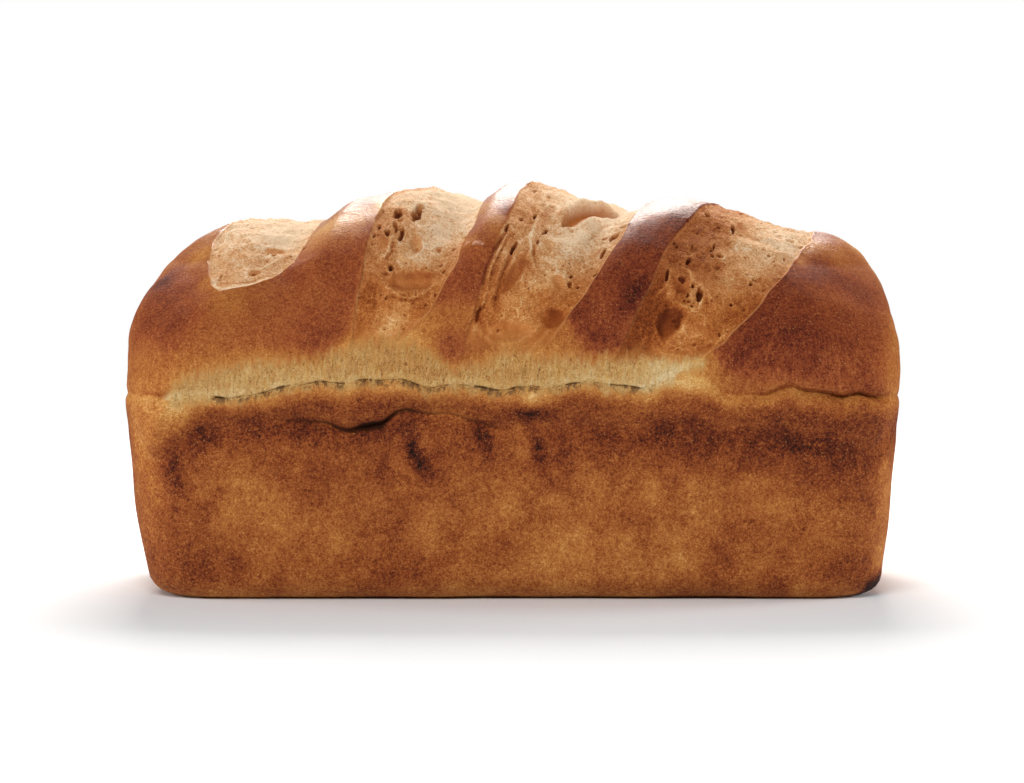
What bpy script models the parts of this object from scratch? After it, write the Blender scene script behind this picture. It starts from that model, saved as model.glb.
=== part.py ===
"""A sourdough loaf, baked in a tin and slashed four times across its domed top.

Blender 4.5 script, in metres with +Z up. Sizes are named in millimetres and turned into metres
once, when the mesh is made. The loaf is one solid that stands on its flat base. The origin is
under the middle of its box, its length runs along X, and its torn side faces -Y.

The surface starts as a plain form, the tin's walls with a dome on them. Relief is then added along
its normals. Places on the relief are given as x, the distance along the loaf, with either z, the
height on a wall, or climb, the angle round the dome: 0 at the front rim, 90 on the crest and 180
at the back rim.
"""

import bpy
import numpy as np

MM = 0.001

# Plain form, in millimetres
HALF_LENGTH = 124.7
HALF_WIDTH = 62.0
RIM = 66.0  # height of the tin's rim, where the dome starts
WAIST = 72.0  # height at which the loaf is longest and widest
CREST = 130.5
CREST_X = -4.0  # where the crest is highest
CREST_SAG = 0.00092  # drop of the crest for each square millimetre from there
LEFT_TAPER, LEFT_TAPER_POWER = 7.8, 2.3  # how far a wall leans in towards its foot
RIGHT_TAPER, RIGHT_TAPER_POWER = 5.3, 1.25
SIDE_TAPER, SIDE_TAPER_POWER = 8.0, 1.3
LEFT_BULGE, LEFT_BULGE_POWER = 50.5, 2.65  # how far the dome's end rounds in, and how squarely
RIGHT_BULGE, RIGHT_BULGE_POWER = 32.0, 2.95
SIDE_BULGE_POWER = 2.1
FOOT_RADIUS = 7.0
CORNER_RADIUS, CORNER_GROWTH = 19.0, 30.0  # in plan: at the waist, and added on the way up

# Lattice that carries the surface
LENGTH_STEPS, WIDTH_STEPS, HEIGHT_STEPS = 136, 38, 66
SPINE_HALF, SPINE_HEIGHT = 80.0, 62.0  # the line that the rays start from
GUIDE_TOP = 131.0
RAY_REACH = 2.0
HALVINGS = 26
MOST_TRIANGLES = 11800

# Slashes: (climb, x) down the left and the right edge of each, from the front end to the back end
SLASH_EDGES = (
    ((33, -90), (38, -96), (50, -100), (65, -99), (82, -94), (150, -66)),
    ((33, -88), (39, -82), (50, -71), (66, -65.5), (90, -61), (150, -34)),
    ((20, -51), (42, -48), (59, -45), (90, -37), (150, -16)),
    ((20, -32), (31, -21), (47, -15), (72, -10), (90, -7), (150, 16)),
    ((20, -14), (38, -8), (55, -2), (72, 2), (90, 6), (150, 26)),
    ((20, 15.5), (31, 23.5), (52, 35), (64, 38.5), (90, 44), (150, 68)),
    ((14, 34), (34, 44), (51, 51), (69, 60), (90, 66), (150, 84)),
    ((9, 55), (16, 67), (28, 78), (47, 90), (70, 99), (150, 108)),
)
SLASH_FRONT_ENDS = (33.0, 18.0, 18.0, 11.0)
SLASH_BACK_END = 150.0
SLASH_END_FADE = 5.0
SLASH_DEPTH = 1.0  # the cut crumb lies this far under the crust beside it
SLASH_EDGE_WIDTH = 1.6
# Rise and fall of the crest, as (x, height): each ridge is steep on its left and falls into its slash
RIDGES = (
    (-125, 0.0), (-95, -2.4), (-63, -6.9), (-49, -1.2), (-30, 1.7), (-11, -3.4), (0, 2.0), (6, 2.7),
    (23, -2.4), (30, -3.0), (36, -5.6), (52, 0.0), (58, 0.7), (94, -4.0), (112, -2.0), (125, 0.0),
)
RIDGE_FOOT, RIDGE_RAMP = 8.0, 50.0  # climb at which the ridges start, and over which they grow

# Tear where the dome broke away from the wall
CRACK_LINE = (
    (-110, 65.0), (-83, 67.0), (-63, 70.4), (-50, 71.3), (-31, 70.3), (-12, 68.5), (3, 68.6),
    (26, 70.8), (43, 69.3), (50, 71.5), (63, 78.5),
)
CRACK_START, CRACK_END, TEAR_FADE = -116.0, 68.0, 8.0  # the crack dies out inside the last slash
SEAM_LINE = ((-125, 66.0), (70, 64.0), (90, 69.0), (97, 66.8), (105, 67.2), (125, 66.0))
SEAM_START = 74.0  # right of here the seam is open again, as a crease
CRACK_DEPTH, CREASE_DEPTH, SEAM_DEPTH, CRACK_WIDTH = 2.2, 1.5, 0.8, 1.4
CRACK_WANDER, CRACK_WANDER_SIZE = 0.7, 16.0
FRONT_BLEND = 20.0  # depth over which the front's tear passes into the seam round the ends
SHRED_TOP = ((-110, 3), (-87, 12), (-63, 13), (-51, 18), (-26, 16), (-13, 11), (15, 15), (60, 13), (75, 4))
SHRED_DEPTH = 0.8
LIP_HEIGHT, LIP_AROUND = 1.5, 0.3  # how far the crust under the crack stands out
FOLD_LINE = (
    (-116, 43), (-100, 55.5), (-60, 56.5), (-46, 56.5), (-31, 61.5), (-14, 57), (35, 56), (86, 52),
    (112, 46),
)
FOLD_DROP, FOLD_DEPTH, FOLD_WIDTH = 10.0, 1.1, 3.5
FOLD_SPLIT_X, FOLD_SPLIT_REACH, FOLD_SPLIT_DEPTH, FOLD_SPLIT_WIDTH = -53.0, 12.0, 1.6, 1.5

# Hollows left by burst bubbles: x, climb, length, width, depth, and the lean of the length to the right
HOLLOWS = (
    (-78.5, 59, 9, 6, 1.0, 40),
    (-37.5, 62, 5, 4, 1.8, 0),
    (-31.0, 64, 8, 4.5, 2.6, 20),
    (-41.5, 49, 7, 6, 1.6, 0),
    (-31.5, 47, 7, 6, 1.0, 0),
    (-32.5, 35, 6, 16, 1.8, 0),
    (25.0, 74, 9, 17, 4.5, 0),
    (10.0, 76, 5, 7, 1.4, 20),
    (0.5, 45, 6, 4, 1.6, 15),
    (29.0, 46, 7, 4, 1.4, 30),
    (14.5, 36, 6, 6, 1.2, 0),
    (12.5, 23, 7, 8, 2.0, 0),
    (-2.5, 18, 9, 14, 1.8, 0),
    (64.5, 70, 4, 4, 1.8, 0),
    (73.5, 65, 6, 3, 1.4, 20),
    (66.0, 48, 5, 5, 1.2, 0),
    (56.5, 43, 5, 4, 1.6, 10),
    (59.5, 32, 7, 5, 2.0, 10),
    (62.5, 40, 8, 6, 1.0, 0),
    (50.5, 22, 10, 10, 1.2, 0),
    (51.5, 48, 7, 3, 1.0, 20),
)

# Unevenness of the whole
WAVE_HEIGHT, WAVE_SIZE = 0.45, 34.0
CRAG_HEIGHT, CRAG_SIZE = 0.2, 7.0
WAVE_SEED = 7
FOOT_LIFT, FOOT_LIFT_SIZE, FOOT_MARGIN = 0.9, 38.0, 14.0

CRUST_COLOUR = (0.30, 0.105, 0.033, 1.0)
CRUST_ROUGHNESS = 0.5


def ease(t):
    """0 below 0, 1 above 1, and smooth between."""
    t = np.clip(t, 0.0, 1.0)
    return t * t * (3.0 - 2.0 * t)


def line(x, knots):
    xs, ys = zip(*knots)
    return np.interp(x, xs, ys)


def eased_line(x, knots):
    """Passes each knot level, with a smooth step from one to the next."""
    height = np.full_like(x, float(knots[0][1]))
    for (x0, y0), (x1, y1) in zip(knots, knots[1:]):
        height += (y1 - y0) * ease((x - x0) / (x1 - x0))
    return height


def waves(points, size, seed, count=18):
    """Smooth unevenness of about this size, mostly between -1 and 1, from seeded plane waves."""
    random = np.random.default_rng(seed)
    height = np.zeros(len(points))
    for _ in range(count):
        way = random.normal(size=3)
        way *= 2.0 * np.pi * random.uniform(0.6, 1.5) / size / np.linalg.norm(way)
        height += np.sin(points @ way + random.uniform(0.0, 2.0 * np.pi))
    return height / np.sqrt(count)


# ---- plain form ----


def crest_height(x):
    return CREST - CREST_SAG * (x - CREST_X) ** 2


def wall_reach(z, widest, taper, power):
    """How far out a wall stands at a height: it leans in towards a rounded foot."""
    leaning = widest - taper * np.clip(1.0 - z / WAIST, 0.0, 1.0) ** power
    under = np.clip(1.0 - z / FOOT_RADIUS, 0.0, 1.0)
    return leaning - FOOT_RADIUS * (1.0 - np.sqrt(1.0 - under**2))


def rounding(rise, power):
    return 1.0 - (1.0 - rise**power) ** (1.0 / power)


def outside(points):
    """Below zero inside the plain form, and above zero outside it."""
    x, y, z = points.T
    rise = np.clip((z - WAIST) / (crest_height(x) - WAIST), 0.0, 1.0)
    left = wall_reach(z, HALF_LENGTH, LEFT_TAPER, LEFT_TAPER_POWER)
    right = wall_reach(z, HALF_LENGTH, RIGHT_TAPER, RIGHT_TAPER_POWER)
    left -= LEFT_BULGE * rounding(rise, LEFT_BULGE_POWER)
    right -= RIGHT_BULGE * rounding(rise, RIGHT_BULGE_POWER)
    length = np.where(x < 0.0, left, right)
    width = wall_reach(z, HALF_WIDTH, SIDE_TAPER, SIDE_TAPER_POWER) * (1.0 - rounding(rise, SIDE_BULGE_POWER))
    corner = np.minimum(np.minimum(CORNER_RADIUS + CORNER_GROWTH * rise, width), length)
    over_x = np.abs(x) - length + corner
    over_y = np.abs(y) - width + corner
    plan = np.hypot(np.maximum(over_x, 0.0), np.maximum(over_y, 0.0)) - corner
    plan += np.minimum(np.maximum(over_x, over_y), 0.0)
    return np.maximum(np.maximum(plan, -z), z - crest_height(x))


def box_lattice(nx, ny, nz):
    """The points on the surface of a box of nx by ny by nz cells, and its faces, all facing out."""
    inside = np.zeros((nx + 1, ny + 1, nz + 1), bool)
    inside[1:-1, 1:-1, 1:-1] = True
    cells = np.argwhere(~inside)
    index = np.full(inside.shape, -1)
    index[tuple(cells.T)] = np.arange(len(cells))
    faces = []
    for sheet, outward in (
        (index[0], False), (index[-1], True), (index[:, 0], True),
        (index[:, -1], False), (index[:, :, 0], False), (index[:, :, -1], True),
    ):
        quads = np.stack([sheet[:-1, :-1], sheet[1:, :-1], sheet[1:, 1:], sheet[:-1, 1:]], -1).reshape(-1, 4)
        faces.append(quads if outward else quads[:, ::-1])
    return cells / (nx, ny, nz), np.concatenate(faces)


def even_angles(t, low, high):
    """Places from low to high, seen from zero at even angles, for t from 0 to 1."""
    start, end = np.arctan(low), np.arctan(high)
    return np.tan(start + (end - start) * t)


def plain_surface():
    """Casts a ray from the loaf's spine through each point of a box round it."""
    share, faces = box_lattice(LENGTH_STEPS, WIDTH_STEPS, HEIGHT_STEPS)
    top = (GUIDE_TOP - SPINE_HEIGHT) / HALF_WIDTH
    across = HALF_WIDTH * top * even_angles(share[:, 1], -1.0 / top, 1.0 / top)
    below = 2.0 * share[:, 2] * SPINE_HEIGHT
    above = SPINE_HEIGHT + HALF_WIDTH * even_angles(2.0 * share[:, 2] - 1.0, 0.0, top)
    up = np.where(share[:, 2] < 0.5, below, above)
    along = HALF_LENGTH * (2.0 * share[:, 0] - 1.0)
    start = np.stack([np.clip(along, -SPINE_HALF, SPINE_HALF), 0.0 * up, 0.0 * up + SPINE_HEIGHT], -1)
    ray = np.stack([along, across, up], -1) - start
    near, far = np.zeros(len(ray)), np.full(len(ray), RAY_REACH)
    for _ in range(HALVINGS):
        middle = 0.5 * (near + far)
        within = outside(start + middle[:, None] * ray) < 0.0
        near, far = np.where(within, middle, near), np.where(within, far, middle)
    return start + near[:, None] * ray, faces


def normals(points, faces):
    """Each point's normal, from the faces that meet there."""
    corner = points[faces]
    facing = np.cross(corner[:, 2] - corner[:, 0], corner[:, 3] - corner[:, 1])
    total = np.zeros_like(points)
    for side in range(4):
        np.add.at(total, faces[:, side], facing)
    return total / np.linalg.norm(total, axis=1)[:, None]


# ---- relief ----


def climb_angle(points):
    """Degrees round the dome: 0 at the front rim, 90 on the crest, 180 at the back rim."""
    rise = (points[:, 2] - RIM) / (crest_height(points[:, 0]) - RIM)
    angle = np.degrees(np.arctan2(rise, -points[:, 1] / HALF_WIDTH))
    return np.where(angle < -90.0, angle + 360.0, angle)


def slash_relief(points):
    """The ridges of the crest, and the sunken crumb between each slash's edges."""
    x, climb = points[:, 0], climb_angle(points)
    edges = [line(climb, knots) for knots in SLASH_EDGES]
    tops = [line(90.0, knots) for knots in SLASH_EDGES]
    here = [np.full_like(x, -HALF_LENGTH), *edges, np.full_like(x, HALF_LENGTH)]
    there = [-HALF_LENGTH, *tops, HALF_LENGTH]
    on_crest = np.full_like(x, -HALF_LENGTH)  # where a strand through this point crosses the crest
    for left, right, top_left, top_right in zip(here, here[1:], there, there[1:]):
        on_crest += (top_right - top_left) * np.clip((x - left) / (right - left + 1e-6), 0.0, 1.0)
    from_rim = np.minimum(climb, 180.0 - climb)
    height = eased_line(on_crest, RIDGES) * ease((from_rim - RIDGE_FOOT) / RIDGE_RAMP)
    for left, right, front_end in zip(edges[::2], edges[1::2], SLASH_FRONT_ENDS):
        across = ease((x - left) / SLASH_EDGE_WIDTH) * ease((right - x) / SLASH_EDGE_WIDTH)
        ends = ease((climb - front_end) / SLASH_END_FADE) * ease((SLASH_BACK_END - climb) / SLASH_END_FADE)
        height -= SLASH_DEPTH * across * ends
    return height


def groove(distance, width):
    return np.exp(-((distance / width) ** 2))


def tear_relief(points):
    """The shred and the crack on the front, the seam round the ends and back, and the lip below."""
    x, y, z = points.T
    front = ease(-y / FRONT_BLEND) * ease((HALF_LENGTH - np.abs(x)) / FRONT_BLEND * 2.0)
    wander = CRACK_WANDER * waves(points * (1, 1, 0), CRACK_WANDER_SIZE, WAVE_SEED + 3)
    crack = line(x, CRACK_LINE) + wander
    seam = RIM + front * (line(x, SEAM_LINE) - RIM) + wander
    fold = RIM - FOLD_DROP + front * (line(x, FOLD_LINE) - RIM + FOLD_DROP) + wander
    cracked = front * ease((x - CRACK_START) / TEAR_FADE) * ease((CRACK_END - x) / TEAR_FADE)
    creased = front * ease((x - SEAM_START) / TEAR_FADE)
    shredded = ease((z - crack) / 2.0) * ease((line(x, SHRED_TOP) - climb_angle(points)) / 4.0)
    height = -CRACK_DEPTH * cracked * groove(z - crack, CRACK_WIDTH)
    height -= (CREASE_DEPTH * creased + SEAM_DEPTH * (1.0 - front)) * groove(z - seam, CRACK_WIDTH)
    height -= SHRED_DEPTH * shredded * cracked
    top = seam + cracked * (crack - seam)
    lip = LIP_AROUND + front * (LIP_HEIGHT - LIP_AROUND)
    height += lip * ease((top - z) / 2.5) * ease((z - fold) / (top - fold))
    height -= FOLD_DEPTH * lip / LIP_HEIGHT * groove(z - fold, FOLD_WIDTH)
    split = np.clip(1.0 - np.abs(x - FOLD_SPLIT_X) / FOLD_SPLIT_REACH, 0.0, 1.0) ** 0.5
    return height - FOLD_SPLIT_DEPTH * split * front * groove(z - fold, FOLD_SPLIT_WIDTH)


def hollow_relief(points):
    x, climb = points[:, 0], climb_angle(points)
    height = np.zeros_like(x)
    for at_x, at_climb, length, width, depth, lean in HOLLOWS:
        right, up = x - at_x, np.radians(climb - at_climb) * HALF_WIDTH
        turn = np.radians(lean)
        along = (up * np.cos(turn) + right * np.sin(turn)) / (0.5 * length)
        across = (right * np.cos(turn) - up * np.sin(turn)) / (0.5 * width)
        height -= depth * ease(1.3 - np.hypot(along, across))
    return height


def loaf_points():
    points, faces = plain_surface()
    out = normals(points, faces)
    wall = ease(points[:, 2] / (2.0 * FOOT_RADIUS))
    height = slash_relief(points) + tear_relief(points) + hollow_relief(points)
    height += WAVE_HEIGHT * waves(points, WAVE_SIZE, WAVE_SEED)
    height += CRAG_HEIGHT * waves(points, CRAG_SIZE, WAVE_SEED + 1) * ease((points[:, 2] - RIM) / 10.0)
    points = points + out * (height * wall)[:, None]
    at_edge = ease((np.abs(points[:, 1]) - HALF_WIDTH + SIDE_TAPER + FOOT_MARGIN) / FOOT_MARGIN)
    lift = np.clip(waves(points * (1, 1, 0), FOOT_LIFT_SIZE, WAVE_SEED + 2), 0.0, 1.0)
    points[:, 2] += FOOT_LIFT * lift * at_edge * ease(1.0 - points[:, 2] / FOOT_MARGIN)
    points[:, 2] = np.maximum(points[:, 2], 0.0)
    middle = 0.5 * (points.min(axis=0) + points.max(axis=0))
    return points - (middle[0], middle[1], 0.0), faces


def crust_material():
    material = bpy.data.materials.new("crust")
    material.use_nodes = True
    shader = material.node_tree.nodes["Principled BSDF"]
    shader.inputs["Base Color"].default_value = CRUST_COLOUR
    shader.inputs["Roughness"].default_value = CRUST_ROUGHNESS
    shader.inputs["Metallic"].default_value = 0.0
    return material


def build_loaf():
    points, faces = loaf_points()
    mesh = bpy.data.meshes.new("loaf")
    mesh.from_pydata((points * MM).tolist(), [], faces.tolist())
    mesh.materials.append(crust_material())
    mesh.shade_smooth()
    loaf = bpy.data.objects.new("loaf", mesh)
    bpy.context.scene.collection.objects.link(loaf)
    fewer = loaf.modifiers.new("fewer_faces", "DECIMATE")
    fewer.ratio = MOST_TRIANGLES / (2 * len(faces))
    return loaf


for old in list(bpy.data.objects):
    bpy.data.objects.remove(old)
build_loaf()
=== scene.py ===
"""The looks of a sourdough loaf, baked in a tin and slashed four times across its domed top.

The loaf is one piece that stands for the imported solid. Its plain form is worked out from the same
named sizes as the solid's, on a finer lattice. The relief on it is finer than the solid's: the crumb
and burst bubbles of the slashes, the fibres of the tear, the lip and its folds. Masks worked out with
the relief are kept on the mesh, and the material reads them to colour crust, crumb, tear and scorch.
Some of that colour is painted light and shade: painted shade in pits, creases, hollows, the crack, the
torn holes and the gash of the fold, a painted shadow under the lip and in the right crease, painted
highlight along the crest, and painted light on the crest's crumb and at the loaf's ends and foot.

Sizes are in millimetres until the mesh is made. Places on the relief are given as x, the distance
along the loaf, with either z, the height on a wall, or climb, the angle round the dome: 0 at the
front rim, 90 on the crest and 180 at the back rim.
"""

import math

import bmesh
import bpy
import numpy as np
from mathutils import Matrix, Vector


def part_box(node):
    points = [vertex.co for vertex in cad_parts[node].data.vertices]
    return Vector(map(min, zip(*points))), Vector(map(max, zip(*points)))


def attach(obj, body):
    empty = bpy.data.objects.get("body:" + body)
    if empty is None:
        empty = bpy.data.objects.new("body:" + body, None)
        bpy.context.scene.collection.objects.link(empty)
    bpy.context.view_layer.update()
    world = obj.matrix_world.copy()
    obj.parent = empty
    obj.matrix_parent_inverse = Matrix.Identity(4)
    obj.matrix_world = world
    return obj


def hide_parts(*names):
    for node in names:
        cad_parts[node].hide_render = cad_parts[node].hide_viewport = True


MM = 0.001

# Plain form
HALF_LENGTH = 124.7
HALF_WIDTH = 62.0
RIM = 66.0  # height of the tin's rim, where the dome starts
WAIST = 72.0  # height at which the loaf is longest and widest
CREST = 130.5
CREST_X = -4.0  # where the crest is highest
CREST_SAG = 0.00092  # drop of the crest for each square millimetre from there
LEFT_TAPER, LEFT_TAPER_POWER = 7.8, 2.3  # how far a wall leans in towards its foot
RIGHT_TAPER, RIGHT_TAPER_POWER = 5.3, 1.25
SIDE_TAPER, SIDE_TAPER_POWER = 8.0, 1.3
LEFT_BULGE, LEFT_BULGE_POWER = 50.5, 2.65  # how far the dome's end rounds in, and how squarely
RIGHT_BULGE, RIGHT_BULGE_POWER = 32.0, 2.95
SIDE_BULGE_POWER = 2.1
FOOT_RADIUS = 7.0
CORNER_RADIUS, CORNER_GROWTH = 19.0, 30.0  # in plan: at the waist, and added on the way up

# Lattice that carries the surface
LENGTH_STEPS, WIDTH_STEPS, HEIGHT_STEPS = 100, 34, 50
SPINE_HALF, SPINE_HEIGHT = 80.0, 62.0  # the line that the rays start from
GUIDE_TOP = 131.0
RAY_REACH = 2.0
HALVINGS = 26
ARC = 1.1  # millimetres round the dome for each degree of climb

# Slashes: (climb, x) down the left and the right edge of each, from the front end to the back end
SLASH_EDGES = (
    (
        (36.8, -95.5), (41, -98), (47, -99.5), (58, -100.6), (71, -98.8), (78, -96.4), (87, -93.4),
        (150, -66),
    ),
    (
        (36.8, -95), (36.9, -90), (37.2, -86), (38.4, -82), (40.2, -77.8), (44, -74.5), (48, -71),
        (60, -68), (90, -61), (150, -34),
    ),
    ((8, -54), (20, -51), (42, -48), (59, -45), (90, -37), (150, -16)),
    (
        (8, -42), (14, -37.5), (20, -31.5), (24, -27), (28, -24.2), (34, -21.4), (41, -17.8), (50, -15.3),
        (56, -13), (72, -10), (90, -7), (150, 16),
    ),
    ((8, -17.5), (20, -14), (38, -8), (55, -2), (72, 2), (90, 6), (150, 26)),
    ((8, 5), (20, 15.5), (31, 23.5), (52, 35), (64, 38.5), (90, 44), (150, 68)),
    ((3, 27), (14, 34), (34, 44), (51, 51), (69, 60), (90, 66), (150, 84)),
    ((3, 47), (9, 55), (16, 67), (28, 78), (47, 90), (70, 99), (150, 108)),
)
SLASH_FRONT_ENDS = (20.0, 10.0, 10.0, 5.0)
RIDGE_STARTS = (44.0, 0.0, 0.0, 0.0)  # climb under which the ridges beside a slash run straight down
SLASH_BACK_END = 150.0
SLASH_DEPTH = 1.0  # the cut crumb lies this far under the crust beside it
SLASH_EDGE_WIDTH, SLASH_EDGE_START = 0.9, 0.3  # it sinks over this width, this share of it outside the edge
SLASH_END_FADE = 16.0
EDGE_WANDER, EDGE_WANDER_SIZE = 0.3, 12.0
RIM_HEIGHT, RIM_WIDTH = 0.3, 0.5  # the thin curled rim along a slash's edge
LEFT_RIMS = (0.8, 0.4, 0.1, 0.25)  # how much of that rim each slash has along its left edge
# Rise and fall of the crest, as (x, height): each ridge is steep on its left and falls into its slash
RIDGES = (
    (-125, 0), (-95, -2.4), (-63, -6.9), (-49, -1.2), (-30, 1.7), (-11, -3.4), (0, 2.1), (6, 2.3),
    (23, -2.4), (30, -3), (36, -5.6), (52, 0), (58, 0.7), (94, -4), (112, -2), (125, 0),
)
RIDGE_FOOT, RIDGE_RAMP = 8.0, 50.0  # climb at which the ridges start, and over which they grow

# Tear where the dome broke away from the wall
CRACK_LINE = (
    (-110, 65), (-83, 67), (-63, 70.4), (-50, 71.3), (-31, 70.3), (-12, 68.5), (3, 68.6), (26, 70.8),
    (43, 69.3), (50, 71.5), (63, 78.5),
)
CRACK_START, CRACK_END, TEAR_FADE = -116.0, 68.0, 8.0  # the crack dies out inside the last slash
SEAM_LINE = (
    (-125, 66), (64, 68.5), (72, 66.5), (81, 66.5), (89, 69.2), (97, 67), (105, 65), (111, 65.8),
    (125, 64.8),
)
SEAM_START = 74.0  # right of here the seam is open again, as a crease
CRACK_DEPTH, CREASE_DEPTH, SEAM_DEPTH = 1.1, 1.7, 0.5
CRACK_WIDTH, CREASE_WIDTH = 0.4, 1.2
CRACK_WANDER, CRACK_WANDER_SIZE = 0.7, 16.0
CRACK_BREAKS = 6.0  # the crack opens and closes over about this length
CRACK_LEAST, CRACK_MOST = 0.2, 1.3  # and is multiplied by shares between these
CRACK_OPEN = (  # how far it is open, along x; it is bridged at -52 by a tab of dough
    (-110, 0), (-98, 0.1), (-95, 0.8), (-90, 0.7), (-84, 0.35), (-74, 0.6), (-68, 0.3), (-58, 0.4),
    (-54.5, 0.8), (-53.5, 0), (-50.6, 0), (-50, 0.9), (-45, 0.6), (-38, 0.3), (-26, 0.7), (-20, 0.3),
    (-14, 0.4), (-10, 0.9), (-3, 0.8), (3, 0.5), (14, 0.3), (19, 0.7), (22, 0.2), (30, 0.3), (38, 0.6),
    (44, 0.4), (48, 0),
)
GAP_LINE = (
    (80, 0.1), (92, 0.25), (101, 0.6), (105, 1), (108, 0.55), (110, 0.9), (115, 0.7), (119, 0.2),
    (125, 0.1),
)
GAP_DEPTH = 2.4  # how much deeper the crease goes where it gapes, near the right end
FRONT_BLEND = 20.0  # depth over which the front's tear passes into the seam round the ends
SHRED_TOP = (
    (-110, 4), (-104, 7), (-98, 8.5), (-87, 11), (-63, 12), (-51, 16), (-34, 17), (-26, 13), (-19, 8.5),
    (-10, 9.5), (-3, 14), (9, 12), (22, 11.5), (60, 12), (75, 4),
)
SHRED_DEPTH, SHRED_RAGGED, SHRED_RAGGED_SIZE = 0.5, 0.72, 3.0
SHRED_FOOT, SHRED_EDGE = 1.5, 4.0  # millimetres over which it sinks in from the crack and from its top
SHRED_PALE = (
    (-110, 0.64), (-85, 0.62), (-55, 0.56), (-45, 0.53), (-30, 0.48), (-22, 0.56), (-12, 0.6), (-3, 0.52),
    (8, 0.55), (15, 0.6), (25, 0.62), (35, 0.64), (44, 0.76), (50, 0.8), (60, 0.6),
)
DOUGH_DROP, DOUGH_VARIES, DOUGH_SIZE = 2.2, 1.0, 6.0  # pale dough shows this far under the crack
LIP_HEIGHT, LIP_AROUND, LIP_TOP = 1.5, 0.3, 71.5  # how far the crust under the crack stands out, up to here
LIP_EDGE = 2.5  # millimetres over which its upper edge rises
TEARING_CLIMB = (26.0, 10.0)  # the crust is drawn into streaks from the first climb down to the second
FOLD_LINE = (
    (-116, 43), (-100, 55.5), (-80, 57.5), (-66, 57.5), (-59, 57), (-53, 55.5), (-47, 55.5), (-42, 56.5),
    (-38, 59.5), (-34, 61), (-28, 61.5), (-20, 60), (-14, 57.5), (-2, 56), (35, 56), (86, 54), (112, 48),
)
FOLD_DROP, FOLD_DEPTH, FOLD_WIDTH = 10.0, 1.1, 3.5
FOLD_SPLIT = (  # how far the fold under the lip is split, along x
    (-78, 0), (-72, 0.4), (-60, 0.45), (-54, 0.7), (-50, 1), (-46, 1.5), (-42, 1.3), (-38, 0.7),
    (-30, 0.45), (-22, 0.3), (-14, 0.35), (-6, 0.35), (0, 0),
)
FOLD_SPLIT_DEPTH, FOLD_SPLIT_WIDTH = 2.4, 0.8
TORN_DROP, TORN_SIZE = 2.4, 1.9  # torn holes hang this far under the crack, and are about this wide
MASK_REACH = 9.0  # the masks that hold distances end at this many millimetres
NO_SHRED = -7.0  # what the shred's mask says where there is no tear
# The shred is paler at this height over the crack, over this width, and darker over this depth below it
CRACK_PALER, CRACK_PALER_HEIGHT, CRACK_PALER_WIDTH = 0.13, 1.2, 1.5
CRACK_DARKER, CRACK_DARKER_DEPTH = 0.02, 0.5
WRINKLES = (  # folds of the left end: x, z, length, width, lean
    (-109, 64.5, 16, 2.2, 32), (-104, 67.5, 11, 1.8, 28), (-112.5, 58.5, 14, 2.4, 20),
)
WRINKLE_HEIGHT = 0.6

# Hollows left by burst bubbles: x, climb, length, width, depth, the lean of the length to the right, and how
# much paler or darker their skin is painted; the darker skin is partly its own browner colour and partly
# painted shade in the hollow
HOLLOWS = (
    (-79, 58.5, 4.6, 7.4, 0.9, 20, -0.26), (-84.6, 45.5, 4.1, 4.2, 0.7, 0, -0.24),
    (-32.6, 34.7, 15.4, 7.4, 1.6, 82, -0.17), (-31.4, 48.5, 8.3, 4.4, 1, 0, -0.16),
    (-41.6, 48.2, 8.6, 3.6, 0.8, 15, -0.06), (-36.1, 41, 4.7, 5.2, 0.5, 0, 0.04),
    (0.2, 36.5, 17, 4.2, 1.2, 28, -0.18), (14.5, 35, 5.4, 4.4, 0.9, 0, -0.14),
    (12.6, 22.8, 7.6, 6.8, 1.3, 37, -0.18), (-1.7, 18.6, 6.5, 17.8, 0.9, 0, -0.04),
    (33.3, 81, 14, 2.1, 0.5, 10, -0.12), (29.4, 63.9, 13.7, 1.7, 0.4, 27, -0.1),
    (14.7, 55.4, 3.3, 1.8, 0.4, 77, -0.1), (11.9, 49.4, 5.4, 3.9, 0.6, 0, -0.08),
    (53.8, 34, 6.1, 5.8, 1, 0, -0.12), (49.8, 21.6, 12.5, 7.1, 1.6, 22, -0.16),
    (62.3, 42.1, 3.4, 3.3, 0.4, 0, -0.06), (75.3, 70, 8, 4.1, 0.6, 0, -0.12),
)
# The large burst bubble of the third slash: a lens-shaped hole whose far edge stands up as a thin flap
HOLE_START, HOLE_END = (16.0, 58.0), (36.0, 89.0)  # x and climb of its two tips
HOLE_HALF_WIDTH, HOLE_DEPTH = 5.4, 3.8
HOLE_POWER = 0.7  # how pointed its tips are
HOLE_NEAR_WALL, HOLE_FAR_WALL = (-1.0, 0.5), (1.0, 0.7)  # shares across it over which its two walls fall
HOLE_BROWN = 0.25  # how much browner it is towards its lower tip
FLAP_HEIGHT, FLAP_WIDTH = 1.9, 1.6
# A torn flake of crust that stands up on the third ridge: its line, as (climb, x)
FLAKE_LINE = ((47.3, -15.6), (44.9, -13.3), (43.8, -10.7), (43.2, -8.8))
FLAKE_HEIGHT, FLAKE_WIDTH = 1.1, 0.7
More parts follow.
